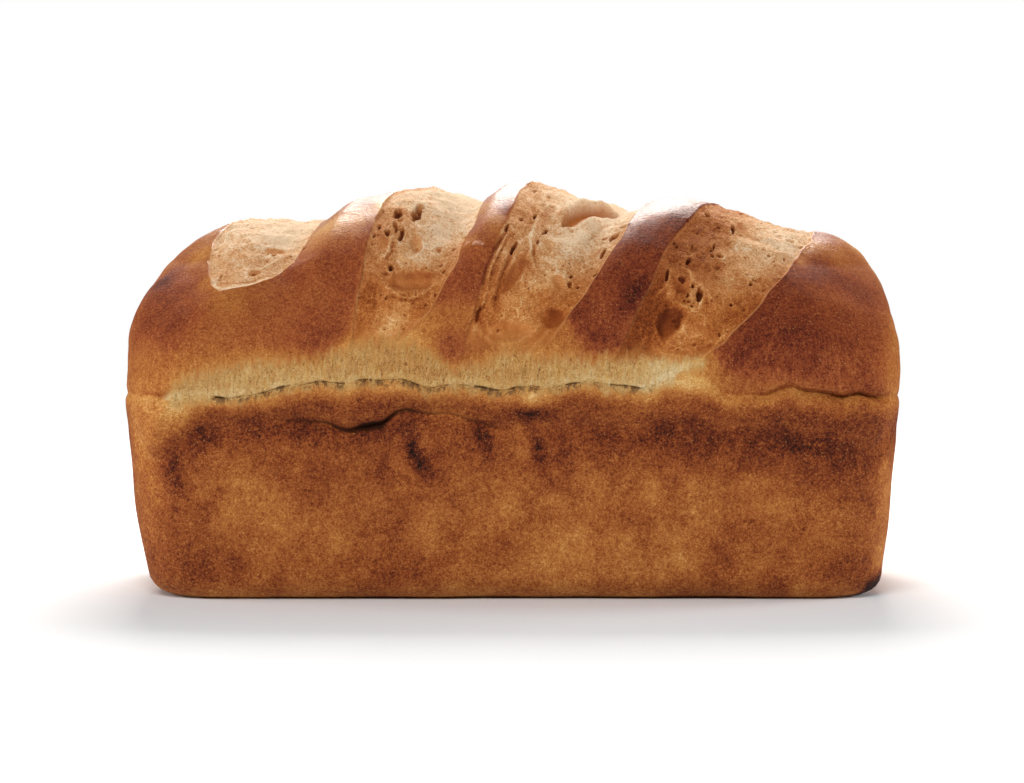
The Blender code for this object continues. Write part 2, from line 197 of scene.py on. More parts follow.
# Thin folds and creases of the crumb: width, height, how much paler or darker, and the line, as (climb, x).
# The raised folds are painted paler and the creases darker, painted light and shade that follow their relief.
FOLDS = (
    # first slash: the curled rim along its foot, and thin folds
    (
        0.8, 0.35, 0.26,
        ((46, -98.4), (40.6, -97.4), (38.4, -94.8), (38, -90.5), (38.4, -86.4), (39.4, -82.6), (41.4, -78)),
    ),
    (0.4, -0.2, -0.2, ((43, -96), (40.8, -92.6), (40.4, -88.4), (41, -85), (42.6, -81.6))),
    (0.5, 0.3, 0.2, ((47.8, -83.6), (50.8, -79.2), (53.6, -74.4))),
    (0.5, -0.25, -0.22, ((53.6, -75.2), (51.2, -70.6), (56.6, -68.8))),
    (0.6, 0.25, 0.16, ((61, -87), (60, -83.4), (62.6, -79), (60.4, -74.8))),
    (0.5, -0.2, -0.22, ((80, -88.4), (76.4, -83.6), (80, -80.2))),
    (0.5, 0.25, 0.2, ((64, -97.6), (72, -95.4), (80, -92.8))),
    # second slash: rib and crease beside the cluster of pits, folds under the large hollow, ribs on the left
    (0.6, 0.35, 0.18, ((35.5, -24.9), (31.5, -27), (28.8, -33), (28.8, -35.8), (32.7, -41.9))),
    (0.5, -0.25, -0.12, ((29.2, -28.3), (28.1, -32.8), (28.2, -36.3), (29.8, -40.2))),
    (0.5, 0.2, 0.12, ((28.3, -27.6), (27.3, -32.7), (27.2, -37.5))),
    (0.5, 0.35, 0.2, ((50.8, -39.7), (47.9, -39.6), (44, -40.5), (41.5, -42))),
    (0.6, -0.45, -0.2, ((49.6, -38.8), (44.7, -39.1), (40.5, -41.6))),
    (0.6, 0.3, 0.14, ((42.4, -37.5), (39.3, -35.9), (38.4, -34.4))),
    (0.6, 0.25, 0.14, ((43.5, -47.7), (37.6, -49), (30.6, -49.8), (22, -51.4))),
    (0.5, 0.2, 0.1, ((34.8, -47), (31.3, -49.3), (26.8, -50.4))),
    (0.6, 0.2, 0.12, ((30.8, -39.5), (27.9, -42.1), (23.6, -42.9))),
    (0.45, 0.3, 0.2, ((42.2, -21.4), (38.4, -23.6))),
    (0.45, 0.2, 0.2, ((51.2, -29.5), (48, -29), (45.2, -30.4), (43.5, -31.6))),
    # under the third ridge
    (0.45, -0.25, -0.1, ((20.1, -28.2), (21.6, -21.7), (22.9, -16.6))),
    # third slash: long strands down its left side, a rib, and the folds at its foot
    (0.5, -0.9, -0.3, ((50.8, -1.7), (45.6, -4.4), (42.2, -6.4), (35.4, -9), (31.4, -10))),
    (0.5, 0.5, 0.18, ((48.6, -1.8), (42.7, -4.6), (36.1, -7.4), (29.9, -8.5), (25, -10.2))),
    (0.4, -0.5, -0.24, ((49.4, -0.6), (44.9, -2.9), (38.4, -6), (32.8, -7.7))),
    (1.1, 0.5, 0.12, ((43.6, -1.3), (36.7, -4.1), (32.4, -5.1), (28.4, -6.2))),
    (0.6, -0.9, -0.3, ((43, 0), (41.7, -0.9), (37.3, -3), (30.4, -4.9), (27, -5.7))),
    (0.5, 0.5, 0.26, ((62, 8.6), (54.9, 6.8), (49.1, 5.6), (44.3, 5.6), (41.3, 6), (38.3, 7.5))),
    (0.5, -0.5, -0.25, ((48.6, 6.8), (43, 6.5))),
    (0.5, 0.35, 0.2, ((52, 6.1), (48.4, 3.5), (45.8, 1.4))),
    (1.0, 0.3, 0.16, ((26.6, -12.9), (21.9, -12.6), (17, -12.2))),
    (0.5, -1.2, -0.5, ((26.2, -9.7), (24.1, -11.3), (20.6, -12.1))),
    (
        0.9, 0.35, 0.12,
        ((20.6, -11.5), (17.6, -10), (15, -6), (14.8, -3), (15.6, 1.6), (18.1, 5.9), (21.4, 8.9)),
    ),
    # round the feet of the slashes: rays and arcs where the crumb runs out into the tear
    (0.7, 0.35, 0.14, ((20.5, 12.3), (16.5, 9.3), (14, 6.3), (9.5, 3.5), (6, 1.5))),
    (0.5, -0.4, -0.12, ((18, -10.3), (15, -8.5), (12, -6.1))),
    (0.5, 0.3, 0.12, ((21, -12.4), (16.5, -13.6), (13, -16.4), (10, -19.5))),
    (0.5, 0.2, 0.08, ((19, -21.4), (15, -23.7), (11, -25))),
    (0.5, 0.25, 0.1, ((22, -51.2), (15, -52.4), (11, -53.4))),
    (0.5, 0.2, 0.08, ((21, -28.1), (18, -32), (16, -34.6), (12, -37))),
    (0.6, 0.35, 0.2, ((23, 71.6), (16, 64.7), (11, 59.9), (8.4, 56))),
    (0.6, 0.3, 0.14, ((21, 44.7), (15.4, 49.4), (14, 54.7), (16, 61.2), (19.2, 67.9))),
    (0.5, 0.2, 0.1, ((19, 43.3), (13, 47.1), (12, 53.4), (13.2, 59.9))),
    (0.5, 0.25, 0.12, ((22, 84.2), (17, 82.3), (12, 80.6))),
    (0.5, 0.25, 0.12, ((15.5, 87.5), (10.5, 85.4), (6, 83.8))),
    # fourth slash: ribs round the cluster of pits, and the folds and the tongue of the hollow at its foot
    (0.45, 0.3, 0.26, ((41.5, 54), (40.4, 56.4), (39, 57.1), (36.6, 57))),
    (0.5, 0.35, 0.2, ((40.4, 50.5), (36.2, 50.1), (33.2, 48.8), (29.4, 45))),
    (0.45, 0.25, 0.2, ((37.1, 56.9), (35.7, 59.3), (33.8, 61.9), (30.2, 63.8))),
    (0.5, 0.4, 0.26, ((29.3, 50.8), (27, 54.6), (24.5, 56.9))),
    (0.5, 0.3, 0.22, ((27, 54.2), (26.4, 56.9), (27.1, 59.4), (31.2, 60.9), (35.2, 60.2))),
    (0.6, 0.25, 0.12, ((24.8, 44.8), (20.9, 45), (17.1, 46.7), (14.2, 49))),
    (0.5, -0.3, -0.12, ((24.8, 46.4), (20.1, 46.5), (15.7, 48.4))),
    (1.4, 0.9, 0.22, ((15.8, 48.4), (19, 51.8), (20, 57))),
    (1.2, -0.5, -0.18, ((26.3, 54.6), (23, 53.3), (19.3, 51.8))),
)
# Open pits in the crumb: x, climb, length, width, depth, lean. Their floors are painted dark, painted shade
# that grows with their depth
PITS = (
    (-37.4, 61, 6.8, 2.9, 2, 0), (-31.2, 63.6, 11, 3.2, 3, 12), (-43.3, 54.3, 2.6, 1.4, 1.3, 0),
    (-40.8, 52.1, 2.6, 2.1, 1.7, 5), (-37.8, 53, 2.6, 1, 1.6, 0), (-38.2, 55, 3.2, 1.6, 0.9, 0),
    (-36.2, 51.2, 6.6, 1.6, 2, 10), (-44.8, 50.7, 2.6, 1.1, 1.1, 9), (-45.5, 47.9, 1.6, 0.8, 0.8, 0),
    (-39.4, 38.6, 2.9, 1.4, 2.2, 0), (-23.3, 40.5, 2.4, 0.8, 1, 30), (-22.4, 37.8, 2.1, 0.9, 1.1, 33),
    (-25, 29.9, 1.3, 0.9, 0.8, 13), (-24.1, 47.5, 3.3, 1.6, 0.7, 0), (-19.3, 47.3, 2.6, 1.5, 0.7, 21),
    (2.4, 57.2, 2.7, 1.5, 1.2, 23), (7, 60.8, 4.6, 1.2, 1.5, 11), (-2.2, 51, 3.5, 1, 1.7, 23),
    (0.1, 44.5, 5.7, 1.3, 2.1, 24), (10.3, 55.5, 5.6, 1.1, 1.5, 21), (8, 49.5, 2.7, 0.9, 0.9, 20),
    (4.9, 32, 0.9, 0.8, 0.9, 13), (23, 86, 5, 2, 1.1, 4), (36, 61, 2.6, 3.2, 1, 49),
    (33, 56.2, 5.6, 2.4, 1.2, 31), (30, 56.7, 2.7, 1.3, 0.8, 45), (25.8, 55.7, 2.8, 0.9, 0.7, 35),
    (29.3, 48, 7, 1.3, 1.2, 21), (26.6, 38.1, 2.8, 0.9, 0.9, 43), (18.7, 37.8, 2.1, 0.9, 1.6, 24),
    (18.1, 34.7, 2.7, 1.5, 1.1, 0), (20.7, 33.4, 1.4, 0.9, 1.1, 26), (52, 51.3, 2, 0.9, 1.4, 23),
    (52.8, 49.6, 2, 0.9, 0.8, 25), (65.2, 53.1, 3.6, 0.8, 1.4, 9), (64.3, 50.8, 2.1, 0.8, 1.4, 45),
    (56.6, 44.5, 3.9, 1.4, 2.1, 23), (64.5, 48.4, 1.9, 1.3, 0.8, 0), (66.9, 48.7, 2.1, 2.5, 0.8, 0),
    (49.3, 36.7, 5.6, 1, 1.6, 9), (57.6, 34.9, 1.7, 1, 1.7, 7), (59.7, 31.9, 6, 2.1, 2.4, 6),
    (57.1, 27.6, 1.3, 1, 1.3, 9), (55.8, 31.2, 2.1, 0.8, 1.4, 10), (55.9, 28.9, 1.4, 0.7, 1.2, 10),
    (54.7, 28.9, 1.1, 0.7, 1.2, 0), (54.2, 36.6, 2.5, 2.3, 1.2, 0), (69.8, 29.5, 1.6, 1.6, 1, 0),
    (76.6, 38.6, 1.6, 1.2, 1.2, 22), (77.6, 40.4, 0.9, 1.2, 0.9, 12), (74.5, 63.5, 1.9, 1.4, 1, 44),
    (63.6, 70.5, 7, 2.2, 2.6, 0), (72.1, 67, 8, 1.4, 1.9, 4), (68.8, 68.5, 1.8, 0.9, 0.9, 0),
    (56.7, 62.4, 1.5, 0.9, 0.9, 0), (83.6, 54.3, 2, 1.3, 0.9, 0), (85.4, 51.9, 2.4, 1, 0.9, 38),
    (89.2, 54.3, 2.1, 1.1, 0.8, 0), (91.5, 68.1, 5, 3.2, 0.7, 0), (87.1, 61.1, 1.9, 1.1, 0.6, 49),
    (86.3, 42.3, 2, 1.2, 0.7, 27), (-79, 55.8, 2.6, 2, 1.3, 0), (-84.6, 45.2, 1.6, 2.6, 0.9, 19),
    (-72.9, 53.8, 1.2, 1.5, 0.8, 63), (-68.5, 55.5, 1, 1.4, 0.7, 50),
)
SMALL_PITS, SMALL_PIT_SIZE, SMALL_PIT_DEPTH, SMALL_PIT_SEED = 150, (0.6, 1.4), 0.55, 21
SMALL_PIT_START, SMALL_PIT_MARGIN = 8.0, 1.2  # climb above a slash's foot, and millimetres inside its edges
SMALL_PIT_CROWDING, SMALL_PIT_LEAN = 1.4, (-20, 40)  # above 1 the left edge has more of them
PIT_UNEVEN, PIT_UNEVEN_SIZE = 0.16, 2.2  # how far pits and hollows depart from round
# The pale rim round a pit: its height as a share of the pit's width, its place, its width, and how pale it is
PIT_RIM, PIT_RIM_PLACE, PIT_RIM_WIDTH, PIT_RIM_PALER = 0.08, 1.25, 0.22, 0.1
# How spots fall off outwards, where 1 is their edge: a level in the middle, and how fast it falls
HOLLOW_SLOPE, HOLLOW_SKIN_SLOPE, PIT_SLOPE = (1.7, 1.5), (3.9, 3.5), (2.1, 1.9)

PATCH_FALL = 0.8  # how fast the patches below fade from their middles
# Burnt, scorched and pale patches on the front wall: x, z, length, width, lean, and strength. The burnt and
# scorched ones are baked more than the wall round them, and the pale ones less. Some are painted light and
# shade instead: among the burnt ones painted shade in the seam's crease at the right end, among the scorched
# ones a painted shadow band under the lip, and among the pale ones painted light at both ends of the loaf.
BURNS_AND_CREASE_SHADE = (
    (-32, 48, 10.5, 3.4, -30, 0.42), (-29, 43.5, 6, 3, -20, 0.26), (-24.5, 39, 5, 3, -30, 0.14),
    (-9.7, 52.5, 7, 5, -15, 0.28), (5, 61.2, 4.4, 8.4, 8, 0.34), (8.6, 49, 9, 3.6, -15, 0.24),
    (6.4, 52, 14, 2.4, -17, 0.1), (-9, 57, 2.2, 12, 5, 0.12), (-46, 56.5, 2.6, 7, 12, 0.2),
    (97, 65, 5.5, 56, 0, 0.15), (-113, 64.5, 7, 12, 0, 0.16), (-110, 46, 13, 6, -6, 0.1),
    (-101, 53, 7, 9, 35, 0.08), (-92, 61.5, 4.5, 14, 8, 0.1), (4.3, 57.2, 6, 3.4, -15, 0.2),
    (82, 61.5, 4, 12, 0, 0.06), (-119, 65, 5, 8, 0, 0.12), (118.5, 65, 6, 8, 0, 0.12),
    (-57.5, 25.5, 7, 7, 0, 0.1), (60.7, 35, 7, 6, 0, 0.1), (103, 24, 12, 8, 0, 0.1),
    (116.5, 15, 12, 6, 0, 0.1), (108.4, 5, 5, 8, 0, 0.12),
)
WALL_BAKE = 0.545
# How much darker the wall is under the lip, partly more baked and partly painted shade from the lip above,
# this far down and over this width, and from these heights up
UNDER_LIP_BAKE_AND_SHADE, UNDER_LIP_DROP, UNDER_LIP_WIDTH, UNDER_LIP_HEIGHT = 0.09, 2.0, 5.0, (20, 40)
FOOT_PAINTED_LIGHT, FOOT_PAINTED_LIGHT_HEIGHT = -0.08, 4.0  # change of that at the wall's foot, painted light against the floor's shade there: below zero it is paler
LIP_BAKE, LIP_EDGE_PALER, LIP_EDGE_FADE = 0.68, 0.38, 7.5  # the lip is paler towards its upper edge
LIP_FADE, LIP_BAKE_AROUND = 4.0, 0.4  # its baking sets in above the fold, and counts this much off the front
TORN_PALER, TORN_PALER_REACH, TORN_PALER_FADE = 0.12, 5.0, 6.0  # how much paler the dome is above the tear
BAKE_UNEVEN, BAKE_UNEVEN_SIZES = 0.05, (60.0, 20.0)
SCORCH_LIMIT = 0.2  # however many of the broader patches overlap, with the painted shadow under the lip among them, they darken the crust no more than this
# scorched patches, with a painted shadow band under the lip among them
SCORCHES_AND_LIP_SHADOW = (
    (-62, 50, 14, 80, 0, 0.13), (-52, 40, 16, 24, 0, 0.12), (-106, 44, 10, 12, 0, 0.1),
    (45, 49, 16, 56, 0, 0.12), (95, 46, 26, 16, 0, 0.08), (-84, 13.5, 14, 30, 0, 0.13),
    (-22, 12.5, 14, 26, 0, 0.07), (88, 16.5, 12, 22, 0, 0.08), (104, 9.5, 6, 20, 0, 0.1),
    (52, 26.5, 8, 10, 0, 0.08), (-7, 49, 5, 6, -25, 0.08), (-35, 56.5, 10, 10, 0, 0.14),
    (15, 46, 9, 2.4, -15, 0.1), (24, 53, 9, 10, 0, 0.14), (38, 52.5, 7, 12, 0, 0.1),
    (68, 54, 8, 10, 0, 0.14), (28, 58, 7, 16, 0, 0.1), (44, 57, 8, 16, 8, 0.12), (60, 59, 7, 14, 0, 0.1),
    (53.5, 51, 5, 5, 0, 0.08), (62, 50.5, 4, 7, 0, 0.06), (80, 58, 7, 22, 0, 0.14),
    (79.5, 49, 6, 9, 0, 0.1), (96, 53.5, 12, 20, 0, 0.2), (106, 48, 13, 12, 15, 0.1),
    (112, 44, 10, 6, 20, 0.08), (72, 45, 5, 8, 0, 0.08), (94, 59.5, 6, 14, -5, 0.08),
    (-98, 55.5, 8, 16, 20, 0.2), (-110, 49, 8, 6, 10, 0.13), (-107, 40, 14, 5, -12, 0.12),
    (-103, 32, 10, 6, -25, 0.08), (-84, 55.5, 8, 22, 5, 0.2), (-62, 57, 5, 24, 0, 0.14),
    (-44, 54, 9, 12, 0, 0.2), (-74, 48, 7, 9, 0, 0.06), (-63, 41, 10, 9, -45, 0.1),
    (-36, 64.5, 4, 14, 15, 0.1), (-48, 50, 7, 5, 0, 0.08), (-40, 30, 12, 12, 0, 0.05),
    (-44, 13.5, 10, 16, 0, 0.1), (12, 37, 5, 12, 40, 0.07), (-6, 35, 4, 7, -40, 0.1),
    (-14, 17.5, 14, 12, 0, 0.04), (36, 44, 8, 10, 0, 0.04), (68, 16.5, 20, 12, 10, 0.09),
    (98, 15.5, 14, 16, 0, 0.05), (-100, 11.5, 14, 14, 0, 0.08), (112, 25.5, 30, 8, 0, 0.06),
    (-34, 56.5, 6, 8, 0, 0.06), (84, 52, 9, 26, 0, 0.12), (79, 50, 5, 7, 0, 0.1), (92, 50, 8, 10, 0, 0.08),
    (-84, 53, 9, 26, 0, 0.1), (-48, 44, 8, 14, 0, 0.09), (23.5, 44, 8, 10, 0, 0.1),
    (66.5, 44, 8, 14, 0, 0.12), (-63, 35.5, 9, 14, 0, 0.1), (95, 35.5, 8, 12, 0, 0.08),
    (66.5, 61.5, 5, 10, 0, 0.16), (-93, 9, 10, 30, 0, 0.09), (-34, 9, 8, 12, 0, 0.12),
    (9, 27, 8, 14, 0, 0.1), (30, 60, 5, 16, 0, 0.08), (108, 12, 14, 12, 0, 0.08),
    (-110.5, 46, 13, 7, -8, 0.2), (-103, 52, 8, 9, 30, 0.12), (-92, 61, 6, 18, 10, 0.14),
    (-78, 44, 8, 12, 0, 0.1), (-48, 39, 14, 10, 0, 0.1), (-63, 36, 7, 9, 0, 0.06),
    (111, 32, 56, 16, 0, 0.08), (96, 27, 10, 12, 0, 0.08), (62, 45, 8, 26, 0, 0.07),
    (82, 18, 8, 10, 0, 0.08), (38, 27, 8, 10, 0, 0.07), (-6, 18, 14, 12, 0, 0.11),
)
# pale patches, with painted light at both ends of the loaf among them
PALE_AND_LIT_PATCHES = (
    (0, 47, 22, 18, 0, 0.08), (-48, 13.5, 14, 14, 0, 0.12), (14, 16.5, 12, 22, 0, 0.1),
    (73, 28, 8, 22, 0, 0.07), (-51.6, 70.5, 5, 3.8, 0, 0.3), (-52, 65.5, 5, 5, 0, 0.08),
    (-122, 56.5, 50, 16, 0, 0.38), (-113, 57, 16, 14, 30, 0.1), (-106, 63, 9, 12, 30, 0.3),
    (-78, 31, 24, 34, 0, 0.07), (-58, 34, 12, 12, 0, 0.07), (-95, 48, 9, 12, 0, 0.05),
    (-85, 51, 7, 16, 20, 0.05), (38, 18.5, 22, 60, 0, 0.09), (-3, 25.5, 6, 9, 0, 0.08),
    (45, 37, 18, 30, 0, 0.05), (4, 57.5, 20, 3, -8, 0.08), (-24, 54, 9, 8, 0, 0.06),
    (80, 37, 10, 20, 0, 0.05), (79, 51, 2.6, 2.6, 0, 0.2), (61, 51.5, 3, 3.4, 0, 0.14),
    (92, 17.5, 9, 14, 0, 0.06), (4.6, 64.8, 6, 5.5, 0, 0.4), (8.4, 65.4, 6, 5.5, 0, 0.4),
    (-45, 70.5, 9, 3, 0, 0.2), (120, 39, 60, 5, 3, 0.16), (58, 73, 9, 15, 30, 0.24),
    (53.5, 70.5, 5, 12, 20, 0.2), (80, 66.5, 6, 26, 0, 0.06), (2.6, 50, 22, 2, -10, 0.08),
    (57.5, 53.5, 7, 8, 0, 0.12), (-5, 35.5, 8, 12, 0, 0.09), (52, 63, 6, 16, 0, 0.16),
    (-20, 61.5, 6, 16, 0, 0.06), (-5, 9, 8, 14, 0, 0.06), (79.5, 10, 8, 10, 0, 0.05),
    (-18, 27, 8, 10, 0, 0.05), (-120, 52, 16, 10, 0, 0.14), (-78, 18, 8, 11, 0, 0.1),
    (-92, 27, 8, 11, 0, 0.1), (9, 14, 14, 10, 0, 0.09), (23.5, 24, 34, 11, 0, 0.08),
    (38, 9, 7, 10, 0, 0.09), (-5, 53, 6, 8, 0, 0.12), (66, 27, 8, 8, 0, 0.07), (39, 44, 7, 8, 0, 0.06),
    (-96, 65.5, 4, 9, 0, 0.3), (90, 63.5, 5, 12, 0, 0.2), (-111, 58.5, 6, 10, 20, 0.22),
    (-45, 12, 6, 7, 0, 0.12),
)
# The burnt corner at the right foot: its middle, how far it reaches, and how much more it is baked
BURNT_CORNER, BURNT_REACH, BURNT_FADE, BURNT_BAKE = (117.0, -42.0, 2.0), 8.5, 2.5, 0.6
BURNT_RAGGED, BURNT_RAGGED_SIZE = 1.6, 8.0

# How baked the crust of the dome is, along the crest; 0 is pale dough and 1 is burnt
CREST_BAKE = (
    (-125, 0.52), (-116, 0.56), (-108, 0.62), (-101, 0.58), (-90, 0.52), (-80, 0.55), (-62, 0.59),
    (-55, 0.57), (-38, 0.56), (-20, 0.6), (-10, 0.62), (2, 0.62), (40, 0.66), (50, 0.72), (58, 0.76),
    (66, 0.73), (94, 0.65), (104, 0.68), (116, 0.64), (125, 0.56),
)
# Where the dome's crust turns golden towards the tear: x and climb
GOLDEN_TOP = (
    (-122, 19), (-113, 17), (-77, 16), (-68, 13), (-60, 13), (-55, 17), (-51, 26), (-30, 27), (-26, 27),
    (-18, 28), (-13, 27), (-8, 30), (12, 30), (20, 20), (26, 14), (37, 14), (41, 24), (60, 22), (66, 12),
    (73, 8), (95, 6), (108, 3), (118, 3),
)
GOLDEN_BAKE, GOLDEN_FADE = 0.5, 8.0
CREST_HIGHLIGHT_PALER, CREST_HIGHLIGHT_CLIMB = 0.06, (55, 80)  # how much paler the crust is painted along the crest: painted highlight
# More and less baked patches of the dome's crust, with paler ones near the crest and along the right end that
# are painted highlight: x, climb, length, width, lean, amount
DOME_BAKE_AND_HIGHLIGHT_PATCHES = (
    (-106, 33, 24, 12, 20, 0.06), (-62, 20, 10, 14, 0, 0.08), (-33, 18, 16, 22, 0, -0.1),
    (-16, 38, 14, 7, 10, 0.05), (-20.5, 13.5, 10, 10, 0, 0.19), (22, 32, 24, 9, 12, 0.05),
    (88, 20, 26, 34, 0, 0.07), (56, 5, 9, 9, 40, -0.2), (-50, 40, 30, 5, 12, 0.05),
    (41.1, 32.4, 7, 4.5, 20, 0.14), (24, 34, 6, 4, 20, 0.06), (32, 22, 14, 16, 20, -0.09),
    (106, 45, 12, 24, 0, 0.08), (104, 38, 16, 18, 0, -0.06), (9, 15, 10, 20, 0, -0.02),
    (98, 66, 18, 9, 10, -0.22), (80, 20, 14, 10, 0, 0.05), (-50, 61, 14, 9, 0, -0.14),
    (-5, 54, 12, 7, 10, -0.2), (54, 60, 12, 8, 0, 0.06), (113, 84, 14, 9, 0, -0.24),
    (95, 31, 8, 10, 0, -0.05), (38, 29, 7, 6, 0, 0.14), (38.5, 21, 6, 8, 0, -0.09),
    (23, 12.5, 6, 10, 0, 0.1), (-63, 13, 6, 10, 0, 0.07), (-92, 31, 14, 14, 0, -0.07),
    (-107, 46, 12, 10, 0, 0.05), (-121, 4, 8, 10, 0, -0.08), (-107, 4, 7, 14, 0, -0.1),
    (123, 22, 44, 8, 0, -0.16), (104, 63, 14, 22, 0, -0.1), (-9, 65, 12, 6, 0, -0.22),
    (-3, 60, 12, 4, 0, 0.18), (-62, 60, 18, 15, 0, -0.24), (-42, 68, 10, 6, 0, -0.2),
    (-116, 52, 20, 8, 0, 0.13), (35, 24, 7, 7, 0, 0.14), (-114, 59, 14, 8, 0, 0.15),
    (-103.5, 65, 10, 7, 0, -0.18), (-101, 43, 8, 5, 0, -0.15), (-14.3, 47, 8, 6, 0, -0.16),
    (94.5, 53, 9, 5, 10, -0.18), (111, 72, 12, 12, 0, -0.1), (-118.8, 30, 12, 6, 0, 0.14),
    (-42.5, 66, 8, 4, 0, -0.2), (-60, 64, 10, 10, 0, -0.12),
)
GLOSS_CLIMB = (40, 66)  # climb over which the crust turns glossy
END_DULL, END_DULL_X = 0.5, (98, 110)  # how much duller it is at both ends
# Duller patches of the crust near the crest: x, climb, length, width, lean, amount
DULL_PATCHES = ((50.0, 57.0, 14.0, 14.0, 10, 0.7), (-1.0, 58.0, 14.0, 4.0, 10, 0.6))
# How fresh, that is pale, the crumb of each slash is at its left edge and at its right
SLASH_FRESH = ((0.74, 0.76), (0.5, 0.84), (0.58, 0.84), (0.3, 0.64))
FRESH_ACROSS = 1.5  # how soon the one turns into the other; at 1 it takes the whole width
STRANDED = (0.0, 0.5, 0.8, 0.5)  # how strongly each slash's left side is drawn out into strands
STRAND_SHARE = (0.6, 0.3)  # share across a slash from which the strands show, and where they are strongest
CREST_PAINTED_LIGHT, CREST_PAINTED_LIGHT_CLIMB = 0.2, (48, 82)  # how much fresher it is on the crest, and the climb it takes
# how much paler the crumb is painted on the crest, painted light from above, and the climb it takes
FRONT_BROWN, FRONT_BROWN_CLIMB = (0.0, 0.12, 0.2, 0.14), (48, 22)
BACK_BROWN, BACK_BROWN_CLIMB = 0.3, (100, 140)
RIGHT_BROWN, RIGHT_BROWN_SHARE, RIGHT_BROWN_CLIMB = 0.22, (0.55, 0.9), (60, 40)
# Where the crumb is golden: it turns so over the first climbs, from the second on, and right of this x
GOLD_CLIMB, GOLD_FOOT, GOLD_LEFT = (48, 24), (-20, -10), -70
# Fresher and browner patches of the crumb, with painted shade among the browner ones, at the top of the
# second slash's large hollow and beside folds in the third: x, climb, length, width, lean, amount
CRUMB_TONE_AND_SHADE_PATCHES = (
    (-46.5, 29.5, 13, 5, 5, -0.1), (-36, 23, 10, 12, 0, 0.1), (-24, 55, 12, 8, 20, 0.1),
    (-0.5, 28, 5, 10, 0, 0.12), (-7.5, 19, 4.2, 2.2, 0, 0.2), (10.5, 28.7, 7, 8, 0, -0.08),
    (29, 68, 20, 6, 17, 0.12), (20, 52, 12, 14, 20, 0.06), (50.5, 31.6, 5.4, 2.2, 8, 0.3),
    (57.4, 31.3, 9.1, 5, 0, 0.34), (54, 21.5, 3.8, 2, 0, 0.3), (47, 48, 20, 6, 14, -0.08),
    (85, 60, 40, 12, 17, 0.16), (62.5, 43, 12, 12, 0, -0.08), (56, 18, 4, 12, 0, 0.12),
    (45, 20, 16, 9, 20, -0.12), (-34, 28.5, 9, 16, 0, -0.3), (53, 25, 14, 10, 10, -0.1),
    (67, 58, 26, 14, 15, -0.1), (10, 62, 16, 14, 20, -0.12), (37, 70, 16, 8, 20, -0.08),
    (80, 45, 14, 10, 20, 0.12), (66, 21, 8, 10, 0, 0.1), (52, 38, 8, 6, 0, 0.1), (9, 27, 10, 9, 0, -0.12),
    (-5.5, 35, 10, 5, 10, -0.12), (-35, 58, 9, 8, 0, -0.15), (-35, 80, 12, 14, 0, 0.16),
    (-37, 69, 10, 8, 0, 0.2), (-77, 68, 16, 12, 0, 0.22), (18, 71, 8, 6, 0, 0.16), (19, 55, 8, 8, 0, 0.08),
    (-30, 37.5, 4, 14, 0, -0.24), (5, 41, 9, 5, 20, -0.22), (73, 56, 12, 8, 15, 0.2),
    (92, 62, 12, 8, 0, 0.18), (12, 53, 7, 6, 0, 0.14), (35, 55, 8, 5, 0, -0.16), (60, 30, 7, 6, 0, -0.16),
    (91, 53, 9, 5, 10, 0.12),
)

# Unevenness of the whole
WAVE_HEIGHT, WAVE_SIZE = 0.45, 34.0
CRAG_HEIGHT, CRAG_SIZE = 0.1, 9.0
WAVE_SEED = 7
FOOT_LIFT, FOOT_LIFT_SIZE, FOOT_MARGIN = 0.9, 38.0, 14.0
CRUMB_LUMPS = ((0.34, 11.0), (0.14, 4.5), (0.07, 2.0))  # height and size
STRAND_HEIGHT, STRAND_SIZE, STRAND_STRETCH = 0.2, 2.2, 8.0
FLOW_STEP = 17.0  # keeps the strands of one slash from repeating in the next
FIBRE_HEIGHT, FIBRE_SIZE, FIBRE_STRETCH = 0.22, 2.0, 4.0

# Camera and light, in metres and degrees
CAMERA_DISTANCE, CAMERA_ELEVATION = 1.5, 4.0
SENSOR, VIEW_WIDTH = 36.0, 0.3406  # millimetres, and the width seen at the loaf
AIM_HEIGHT = 0.0637
SPECULAR_LEVEL = 0.17
WHITE = (1.0, 1.0, 1.0)
WARM = (1.0, 0.94, 0.88)  # colour of the light from behind, and of the surroundings as the loaf sees them
SIDE_WORLD, BACK_WORLD = 0.16, 1.0  # strength of the surroundings round the loaf and straight behind it
BACK_CONE = (0.9, 0.985)  # cosines from straight behind over which they brighten
FLOOR_SOLID, FLOOR_GONE = 0.3, 0.75  # metres from the loaf over which the floor fades into the white
FLOOR_COLOUR, FLOOR_ROUGHNESS = (0.91, 0.93, 0.95, 1.0), 0.9
# Lights: name, place, size, watts, colour, and whether the crust mirrors it
LIGHTS = (
    ("softbox", (0.0, 0.85, 0.74), (0.5, 0.6), 15.0, WARM, True),
    ("fill", (-0.3, -1.3, 1.0), (0.8, 0.6), 16.5, WHITE, False),
    ("left", (-1.3, 0.1, 0.35), (0.6, 0.6), 7.0, WHITE, False),
    ("right", (1.25, 0.35, 0.35), (0.6, 0.6), 11.0, WHITE, False),
)


def ease(t):
    """0 below 0, 1 above 1, and smooth between."""
    t = np.clip(t, 0.0, 1.0)
    return t * t * (3.0 - 2.0 * t)


def fade(value, ends):
    """0 up to the first end, 1 from the second, and smooth between; the ends may fall as well as rise."""
    start, end = ends
    return ease((value - start) / (end - start))


def fall_off(share, slope):
    """1 in the middle of a spot and 0 outside it."""
    level, fall = slope
    return ease(level - fall * share)


def line(x, knots):
    xs, ys = zip(*knots)
    return np.interp(x, xs, ys)


def eased_line(x, knots):
    """Passes each knot level, with a smooth step from one to the next."""
    height = np.full_like(x, float(knots[0][1]))
    for (x0, y0), (x1, y1) in zip(knots, knots[1:]):
        height += (y1 - y0) * ease((x - x0) / (x1 - x0))
    return height


